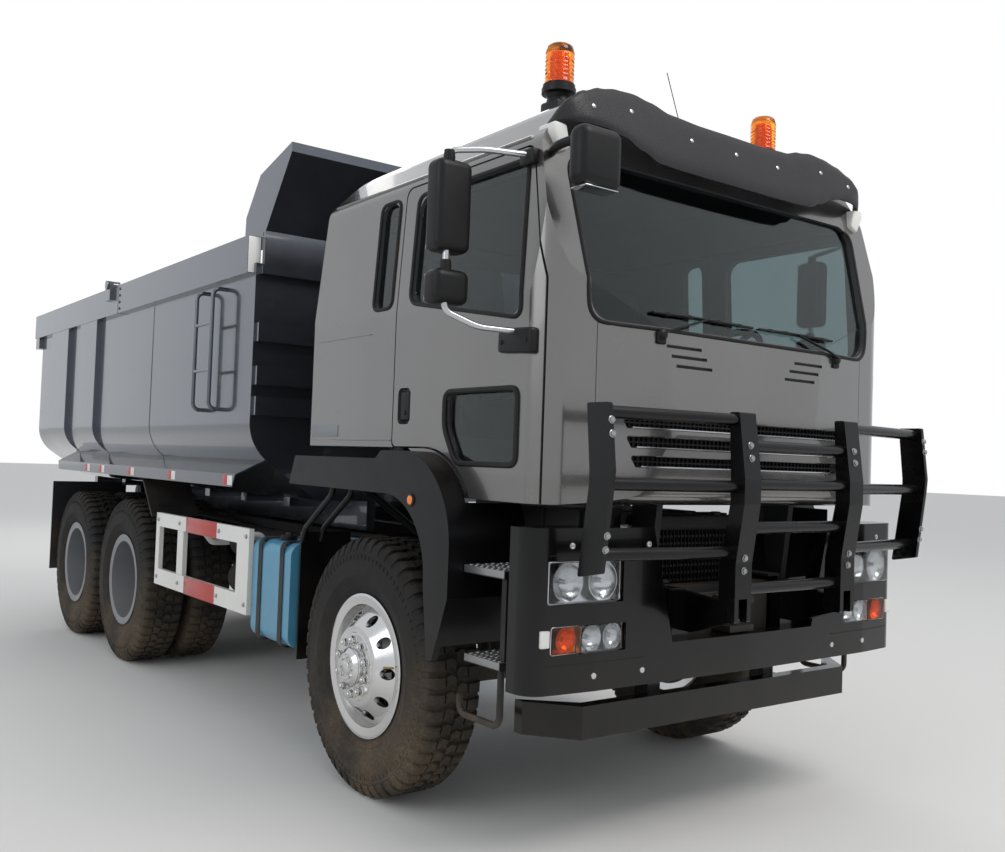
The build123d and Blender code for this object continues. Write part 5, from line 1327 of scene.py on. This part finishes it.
# fender side lamps, and tread on the steps
steps = {
    # x low and high, y low and high, top
    "plates": [(0.833, 1.115, 0.86, 1.175, 1.18), (0.87, 1.115, 0.86, 1.185, 0.82)],
    "studs": (7, 8), "stud": [(0.0115, 0), (0.0105, 0.003), (0.008, 0.0038), (0.006, 0.002), (0, 0.002)],
    "lampPlace": (0.526, 1.435),
    "bezel": [(0, 0), (0.03, 0), (0.029, 0.005), (0.022, 0.007), (0.021, 0.004), (0, 0.004)],
    "bulb": [(0.021, 0.003), (0.02, 0.008), (0.014, 0.012), (0.006, 0.0135), (0, 0.0138)],
}
for sideName, side in sides.items():
    x, z = steps["lampPlace"]
    hit, normal = touch("fenders", (x, side * lookFrom["side"], z), (0, -side, 0))
    for name, rows, finish in (("arcLampRing", "bezel", "trim_black"), ("arcLamp", "bulb", "amber_solid")):
        makePiece(f"{name}_{sideName}", [turnedAt(steps[rows], 28, hit, normal)], finish, "fenders",
                  "chassis_black")
plates = []
across, along = steps["studs"]
stud = turnedShape(steps["stud"], 12)
for x0, x1, y0, y1, top in steps["plates"]:
    width = (x0 + 0.004, x1 - 0.003)
    plates.append(boxShape(width, (y0 + 0.004, y1 - 0.003), (top, top + 0.003), 0.001))
    plates.append(boxShape(width, (y1 - 0.004, y1 + 0.001), (top - 0.026, top + 0.003), 0.001))
    for i in range(across):
        for k in range(along):
            x = x0 + (x1 - x0) * (i + 0.5 + 0.25 * (k % 2)) / (across + 0.5)
            y = y0 + (y1 - y0) * (k + 0.5) / along
            plates.append(shifted(stud, x, y, top + 0.0028))
makePiece("stepTread", bothSides(plates), "step_plate", "steps")
print("steps")


# side guard bands, tank straps and caps, covers on the boxes
sideParts = {
    "bands": [(1.078, 1.176), (0.673, 0.787)], "bandX": (-2.32, -1.79), "bandY": (1.2115, 1.2135),
    "boltX": (-2.86, -2.44, -1.75, -1.33), "boltZ": (1.127, 0.73), "boltY": 1.212,
    # straps: places along the truck, half width, thickness, gap, then y and z of the tank
    "strapX": (-1.165, -0.88), "strap": (0.024, 0.004, 0.002), "tankY": (0.56, 1.19), "tankZ": (0.56, 1.13),
    "cap": [(0, 0), (0.046, 0), (0.048, 0.004), (0.048, 0.024), (0.043, 0.03), (0.018, 0.031),
            (0.016, 0.036), (0, 0.037)],
    "capGrip": ((-0.036, 0.036), (-0.006, 0.006), (0.028, 0.042)),
    "capPlaces": [(-1.02, -1.09), (-1.5, 0.98)],
    "hole": [(0.017, 0), (0.016, 0.003), (0.011, 0.003), (0.01, 0.0005), (0, 0.0005)],
    # columns and rows, first x and z, distances, y
    "holes": (8, 5, -1.135, 0.72, 0.04515, 0.052, 1.1),
    # the battery cover: boxes with their bevel
    "cover": [((-2.895, -2.495), (1.085, 1.104), (0.98, 1.064), 0.006),
              ((-2.9, -2.49), (0.43, 1.102), (1.056, 1.068), 0.005)],
    # half width, y, z, bevel
    "latchX": (-2.8, -2.59), "latch": [(0.014, (1.098, 1.112), (0.925, 1.01), 0.004),
                                       (0.02, (1.098, 1.106), (0.89, 0.925), 0.003)],
    # x, y, count, first z, distance, height
    "fins": ((-2.86, -2.53), (1.098, 1.104), 5, 0.735, 0.028, 0.01),
}
bands = [boxShape(sideParts["bandX"], sideParts["bandY"], band, 0.0005) for band in sideParts["bands"]]
makePiece("guardBands", bothSides(bands), "guard_red", "side_guards")
nut = nutShape(0.02, 0.009, washer=0.014)
bolts = [aimed(nut, (x, sideParts["boltY"], z), (0, 1, 0))
         for x in sideParts["boltX"] for z in sideParts["boltZ"]]
makePiece("guardRailBolts", bothSides(bolts), "hoist_steel", "side_guards")


def wrapStrap(x):
    wide, thick, gap = sideParts["strap"]
    (y0, y1), (z0, z1) = sideParts["tankY"], sideParts["tankZ"]
    rows = [(y0 - gap, z0 - gap), (y1 + gap, z0 - gap), (y1 + gap, z1 + gap), (y0 - gap, z1 + gap)]
    path = roundedPath([(x, y, z) for y, z in rows], 0.05, 6, closed=True)
    points, faces = [], []
    across = Vector((wide, 0, 0))
    for i, point in enumerate(path):
        away = Vector((0, point.y - (y0 + y1) / 2, point.z - (z0 + z1) / 2)).normalized() * thick
        points.extend([point - across, point + across, point + across + away, point - across + away])
        faces.extend(ringFaces(4 * i, 4 * ((i + 1) % len(path)), 4))
    return points, faces


straps = [flipped(wrapStrap(x)) for x in sideParts["strapX"]]
makePiece("tankStraps", straps, "chassis_black", "fuel_tanks")
cap = merged([turnedShape(sideParts["cap"], 32), boxShape(*sideParts["capGrip"], 0.003)])
caps = []
for x, y in sideParts["capPlaces"]:
    caps.append(shifted(cap, x, y, touch("fuel_tanks", (x, y, 2.0), (0, 0, -1))[0].z))
makePiece("tankCaps", caps, "trim_black", "fuel_tanks")
covers = [boxShape(*row) for row in sideParts["cover"]]
for x in sideParts["latchX"]:
    for half, y, z, bevel in sideParts["latch"]:
        covers.append(boxShape((x - half, x + half), y, z, bevel))
wide, deep, count, start, apart, tall = sideParts["fins"]
for k in range(count):
    covers.append(boxShape(wide, deep, (start + apart * k, start + tall + apart * k), 0.002))
makePiece("batteryCover", covers, "trim_black", "battery_box")
columns, rows, startX, startZ, stepX, stepZ, y = sideParts["holes"]
hole = turnedShape(sideParts["hole"], 14)
holes = [aimed(hole, (startX + stepX * i, y, startZ + stepZ * k), (0, 1, 0))
         for i in range(columns) for k in range(rows)]
makePiece("silencerShield", holes, "hoist_steel", "silencer")
print("sides of the chassis")


# bed: marks on the lip, a weld, joints and caps of the rails, bolts of the tailgate
bedParts = {
    "marks": [-1.545, -2.521, -3.399, -4.149, -4.56], "markZ": (1.42, 1.477), "markY": (1.257, 1.2585),
    # name, finish, and where each mark ends from its middle
    "markHalves": [("lipMarksRed", "guard_red", (-0.075, 0)), ("lipMarksWhite", "guard_white", (0, 0.075))],
    # first z, length, steps
    "weldX": -3.16, "weldZ": (1.5, 1.17, 40),
    # count, first z, distance
    "jointX": -3.93, "jointBolts": (4, 2.715, 0.052),
    "joint": (0.012, (1.172, 1.259), (2.68, 2.908)),
    "railCap": ((-1.385, -1.38), (1.178, 1.254), (2.686, 2.901)),
    "boltZ": (1.62, 2.05, 2.48), "boltY": (-0.901, -0.45, 0.0, 0.45, 0.901),
}
for name, finish, (start, end) in bedParts["markHalves"]:
    marks = [boxShape((x + start, x + end), bedParts["markY"], bedParts["markZ"], 0.0005)
             for x in bedParts["marks"]]
    makePiece(name, bothSides(marks), finish, "bed_sides")
start, length, count = bedParts["weldZ"]
path = [fromSide(1, bedParts["weldX"], start + length * k / count, "bed_shell") for k in range(count + 1)]
path = [point for point in path if point is not None and point.y > 1.0]
makePiece("bedWelds", bothSides([tubeShape(path, 0.005, 8, flat=0.8)]), "bed_paint", "bed_shell")
x = bedParts["jointX"]
half, deep, tall = bedParts["joint"]
joint = [boxShape((x - half, x + half), deep, tall, 0.003)]
count, start, apart = bedParts["jointBolts"]
nut = nutShape(0.018, 0.008, washer=0.013)
for k in range(count):
    joint.append(aimed(nut, (x + 0.045, 1.257, start + apart * k), (0, 1, 0)))
makePiece("railJoints", bothSides(joint), "bed_paint", "bed_rails")
caps = [boxShape(*bedParts["railCap"], 0.002)]
makePiece("railCaps", bothSides(caps), "guard_white", "bed_rails")
starts = [(lookFrom["behind"], y, z) for y in bedParts["boltY"] for z in bedParts["boltZ"]]
bolts = onNode(nutShape(0.024, 0.01, washer=0.018), "tailgate", starts, (1, 0, 0))
makePiece("gateBolts", bolts, "hoist_steel", "tailgate")
print("bed")


# rear plate without writing, the springs' clamps and the brake chambers
under = {
    "plateAt": (0.55, 0.95), "plate": ((0.31, 0.79), (0.89, 1.01)), "clampReach": 0.075,
    "rearClamps": ((0.34, 0.44), 0.9, 1.075), "frontClamps": ((0.36, 0.46), 0.07, 0.6, 0.79),
    "chamber": [(0, 0), (0.06, 0), (0.074, 0.018), (0.08, 0.045), (0.083, 0.05), (0.083, 0.06),
                (0.08, 0.065), (0.076, 0.11), (0.06, 0.13), (0.03, 0.136), (0, 0.136)],
    "chamberAhead": 0.15, "chamberPlace": (0.56, 0.7),
}
y, z = under["plateAt"]
x = touch("rear_beam", (lookFrom["behind"], y, z), (1, 0, 0))[0].x
makePiece("rearPlate", [boxShape((x - 0.006, x), *under["plate"], 0.002)], "guard_white", "rear_beam")


def clampShape(x, y, reach, low, top, radius):
    return tubeShape([(x - reach, y, low), (x - reach, y, top), (x + reach, y, top), (x + reach, y, low)],
                     radius, 10, 0.03)


clamps = []
reach = under["clampReach"]
lines, low, top = under["rearClamps"]
for x in sorted(layout["rearAxles"].values()):
    for y in lines:
        clamps.append(clampShape(x, y, reach, low, top, 0.011))
        for end in (-reach, reach):
            clamps.append(aimed(nutShape(0.03, 0.02, washer=0.02), (x + end, y, low + 0.005), (0, 0, -1)))
lines, reach, low, top = under["frontClamps"]
for y in lines:
    clamps.append(clampShape(0, y, reach, low, top, 0.01))
makePiece("springClamps", bothSides(clamps), "cast_black", "leaf_springs", "chassis_black")
chambers = []
y, z = under["chamberPlace"]
for x in sorted(layout["rearAxles"].values()):
    x += under["chamberAhead"]
    chambers.append(turnedAt(under["chamber"], 32, (x, y, z), (1, 0, 0.35)))
    chambers.append(tubeShape([(x, y, z), (x - 0.09, y + 0.01, z - 0.032)], 0.01, 10))
makePiece("brakeChambers", bothSides(chambers), "cast_black", "axles")
print("chassis detail")


# the steering wheel's grip and spokes
wheel = {
    "centre": (0.705, 0.52, 2.2115), "axis": (-0.5, 0.0, 0.866), "rim": 0.225, "grip": 0.0178,
    "spokes": (20, 160, 250, 290), "spoke": [(0.045, -0.03), (0.11, -0.026), (0.222, 0.0)],
    "pad": [(0, -0.045), (0.05, -0.045), (0.07, -0.03), (0.078, -0.012), (0.074, 0.002), (0.058, 0.01),
            (0.03, 0.014), (0, 0.015)],
    "padRing": [(0.046, 0.0115), (0.05, 0.0135), (0.053, 0.0115), (0.05, 0.009)],
}


def rimPoint(turn, radius, lift=0.0):
    return Vector((radius * math.cos(turn), radius * math.sin(turn), lift))


rim = [rimPoint(math.tau * k / 72, wheel["rim"]) for k in range(72)]
grip = [tubeShape(rim, wheel["grip"], 14, closed=True)]
for degrees in wheel["spokes"]:
    spoke = [rimPoint(math.radians(degrees), radius, lift) for radius, lift in wheel["spoke"]]
    grip.append(tubeShape(spoke, 0.014, 12, 0.04, flat=0.55))
grip.append(turnedShape(wheel["pad"], 44))
grip = [aimed(shape, wheel["centre"], wheel["axis"]) for shape in grip]
makePiece("wheelGrip", grip, "trim_black", "steering_wheel", smooth=60)
padRing = turnedAt(wheel["padRing"], 44, wheel["centre"], wheel["axis"])
makePiece("wheelRing", [padRing], "bright_trim", "steering_wheel")


# dashboard: hood over the dials, column, demister slots, vents, buttons and dials
dash = {
    "hood": [(0.8, 2.172), (0.815, 2.236), (0.85, 2.252), (0.96, 2.232), (1.04, 2.18), (1.0, 2.17)],
    "hoodY": (0.3, 0.745), "tray": ((0.98, 1.13), (-0.9, -0.34)), "trayAt": (1.05, -0.6),
    # count, first y, length, x
    "slots": (26, -0.95, 1.9, 1.185), "slotHalf": (0.02, 0.024),
    "column": [(0.85, 0.52, 1.975), (0.735, 0.52, 2.165)], "columnRadius": 0.045,
    "vents": [-0.93, -0.36, 0.1, 0.93], "ventZ": (2.035, 2.12), "ventHalf": 0.07,
    # count, first z, distance, half width, outline
    "louvres": (5, 2.05, 0.0135, 0.06, [(-0.014, 0), (-0.004, 0.003), (-0.004, 0.006), (-0.014, 0.003)]),
    "lid": ((-0.86, -0.38), (1.885, 2.015)), "lidAt": (-0.62, 1.95),
    "lidLatch": ((-0.665, -0.575), (1.985, 2.003)),
    # columns, rows, first y and z, distances
    "buttons": (5, 3, -0.2, 1.985, 0.05, 0.034), "buttonHalf": (0.021, 0.013),
    # y and radius, then x and z; the rim's rows are measured from the radius
    "dials": [(0.44, 0.029), (0.52, 0.029), (0.59, 0.022)], "dialPlace": (0.805, 2.199),
    "dialRim": [(0, 0), (0.004, 0.004), (0.002, 0.008), (-0.003, 0.006), (-0.005, 0.001)],
    # where the surface isn't met
    "topZ": 2.17, "backX": 0.83,
}


def dashTop(x, y):
    hit = touch("dashboard", (x, y, lookFrom["top"]), (0, 0, -1))[0]
    return dash["topZ"] if hit is None else hit.z


def dashBack(y, z):
    hit = touch("dashboard", (0.1, y, z), (1, 0, 0))[0]
    return dash["backX"] if hit is None else hit.x


tray = dashTop(*dash["trayAt"])
pieces = [prismShape(dash["hood"], "y", *dash["hoodY"], 0.016, 4),
          boxShape(*dash["tray"], (tray, tray + 0.012), 0.006)]
count, start, length, x = dash["slots"]
halfX, halfY = dash["slotHalf"]
for k in range(count):
    y = start + length * k / (count - 1)
    top = dashTop(x, y)
    pieces.append(boxShape((x - halfX, x + halfX), (y - halfY, y + halfY), (top, top + 0.004), 0.0015))
pieces.append(tubeShape(dash["column"], dash["columnRadius"], 20))
makePiece("dashTrim", pieces, "dash_dark", "dashboard", smooth=50)
vents, slats = [], []
for y in dash["vents"]:
    x = dashBack(y, 2.08)
    half = dash["ventHalf"]
    vents.append(boxShape((x - 0.01, x + 0.002), (y - half, y + half), dash["ventZ"], 0.007, 3))
    count, start, apart, half, outline = dash["louvres"]
    for k in range(count):
        slat = [(x + ahead, start + apart * k + up) for ahead, up in outline]
        slats.append(prismShape(slat, "y", y - half, y + half))
columns, rows, startY, startZ, stepY, stepZ = dash["buttons"]
halfY, halfZ = dash["buttonHalf"]
for i in range(columns):
    for k in range(rows):
        y, z = startY + stepY * i, startZ - stepZ * k
        x = dashBack(y, z)
        slats.append(boxShape((x - 0.006, x + 0.001), (y - halfY, y + halfY),
                              (z - halfZ, z + halfZ), 0.003))
x = dashBack(*dash["lidAt"])
vents.append(boxShape((x - 0.006, x + 0.002), *dash["lid"], 0.01, 3))
slats.append(boxShape((x - 0.014, x - 0.004), *dash["lidLatch"], 0.004))
makePiece("dashVents", vents, "dash_dark", "dashboard")
makePiece("dashSlats", slats, "trim_black", "dashboard")
dials = []
for y, radius in dash["dials"]:
    rim = [(radius + wider, lift) for wider, lift in dash["dialRim"]]
    ring = turnedShape([*rim, (0, 0.001)], 36)
    needle = boxShape((-0.0016, 0.0016), (0, radius * 0.82), (0.0014, 0.0026))
    x, z = dash["dialPlace"]
    dials.append(aimed(merged([ring, needle]), (x, y, z), (-1, 0, 0.23)))
makePiece("dashDials", dials, "bright_trim", "dashboard")
print("dashboard")


# seats: crowned cushions drawn in at their seams
seats = {
    "y": 0.52, "half": 0.24, "bevel": 0.03, "voxel": 0.011, "pressure": 4.0, "stiffness": 12.0,
    "bending": 0.6, "frames": 20, "cap": 0.014, "seamAt": 0.15, "seamWidth": 0.007,
    # outlines in x and z, with the seams across them
    "base": [(-0.11, 1.961), (0.344, 1.961), (0.346, 2.04), (0.3, 2.066), (-0.11, 2.06)],
    "back": [(-0.131, 1.975), (-0.262, 2.645), (-0.24, 2.664), (-0.175, 2.668), (-0.15, 2.64),
             (-0.03, 2.09)],
    "baseSeams": [("x", 0.19)], "backSeams": [("z", 2.48), ("z", 2.25)],
}


def onSeam(point, middleLine, kind):
    across = abs(point.y - middleLine)
    if abs(across - seats["seamAt"]) < seats["seamWidth"]:
        return True
    inside = across < seats["seamAt"]
    return inside and any(abs(getattr(point, axis) - value) < seats["seamWidth"]
                          for axis, value in seats[f"{kind}Seams"])


def evaluatedMesh(item):
    bpy.context.view_layer.update()
    graph = bpy.context.evaluated_depsgraph_get()
    return bpy.data.meshes.new_from_object(item.evaluated_get(graph))


def puffUp(item, held):
    scene = bpy.context.scene
    work = bpy.data.objects.new("softWork", item.data.copy())
    scene.collection.objects.link(work)
    work.matrix_world = item.matrix_world.copy()
    remesh = work.modifiers.new("remesh", "REMESH")
    remesh.mode = "VOXEL"
    remesh.voxel_size = seats["voxel"]
    even = evaluatedMesh(work)
    work.modifiers.clear()
    work.data = even
    start = [vertex.co.copy() for vertex in even.vertices]
    group = work.vertex_groups.new(name="held")
    group.add([i for i, point in enumerate(start) if held(point)], 1.0, "REPLACE")
    cloth = work.modifiers.new("cloth", "CLOTH")
    cloth.settings.vertex_group_mass = "held"
    cloth.settings.use_pressure = True
    cloth.settings.uniform_pressure_force = seats["pressure"]
    cloth.settings.effector_weights.gravity = 0.0
    cloth.settings.tension_stiffness = seats["stiffness"]
    cloth.settings.compression_stiffness = seats["stiffness"]
    cloth.settings.bending_stiffness = seats["bending"]
    cloth.point_cache.frame_end = seats["frames"]
    for step in range(1, seats["frames"] + 1):
        scene.frame_set(step)
    puffed = evaluatedMesh(work)
    for vertex, first in zip(puffed.vertices, start):
        away = vertex.co - first
        if away.length > seats["cap"]:
            vertex.co = first + away.normalized() * seats["cap"]
    work.modifiers.clear()
    work.data = puffed
    work.modifiers.new("smooth", "SUBSURF").levels = 1
    final = evaluatedMesh(work)
    bpy.data.objects.remove(work)
    scene.frame_set(1)
    for face in final.polygons:
        face.use_smooth = True
    item.data = final


for sideName, side in sides.items():
    middleLine = seats["y"] * side
    for kind in ("base", "back"):
        low, high = middleLine - seats["half"], middleLine + seats["half"]
        shape = prismShape(seats[kind], "y", low, high, seats["bevel"], 5)
        item = makePiece(f"seat_{kind}_{sideName}", [shape], "seat_fabric", "seat_cushions",
                         smooth=70, replaces=["seat_cushions"])
        toTruck = item.matrix_world.copy()
        puffUp(item, lambda point: onSeam(toTruck @ point - truckOffset, middleLine, kind))
print("seats")


# trim on the doors' inner side
doorInner = {
    "armrest": ((0.3, 0.86), (0.985, 1.046), (1.985, 2.045)),
    "pocket": ((0.3, 0.56), (1.015, 1.048), (1.7, 1.905)),
    "lever": ((0.88, 0.985), (1.018, 1.034), (2.07, 2.098)),
    "knob": [(0, 0), (0.02, 0), (0.018, 0.006), (0.01, 0.01), (0.01, 0.022), (0, 0.022)],
    "knobPlace": (0.93, 1.044, 2.0), "crank": [(0.93, 1.024, 2.0), (0.93, 1.018, 1.945)],
    "pull": [(0.43, 1.04, 2.15), (0.43, 1.004, 2.15), (0.7, 1.004, 2.19), (0.7, 1.04, 2.19)],
    "speaker": [(0.066, 0), (0.066, 0.004), (0.06, 0.008), (0.055, 0.004), (0.04, 0.005), (0.02, 0.007),
                (0, 0.008)],
    "speakerPlace": (0.66, 1.044, 1.87),
}
trimmed = [boxShape(*doorInner["armrest"], 0.02, 5), boxShape(*doorInner["pocket"], 0.012, 4),
           boxShape(*doorInner["lever"], 0.006, 3),
           turnedAt(doorInner["knob"], 24, doorInner["knobPlace"], (0, -1, 0)),
           tubeShape(doorInner["crank"], 0.007, 10, flat=0.7),
           tubeShape(doorInner["pull"], 0.011, 12, 0.03),
           turnedAt(doorInner["speaker"], 36, doorInner["speakerPlace"], (0, -1, 0))]
for sideName, side in sides.items():
    makeSided(f"doorTrim_{sideName}", trimmed, side, "dash_dark", f"door_{sideName}", "trim_black")
print("door inner trim")
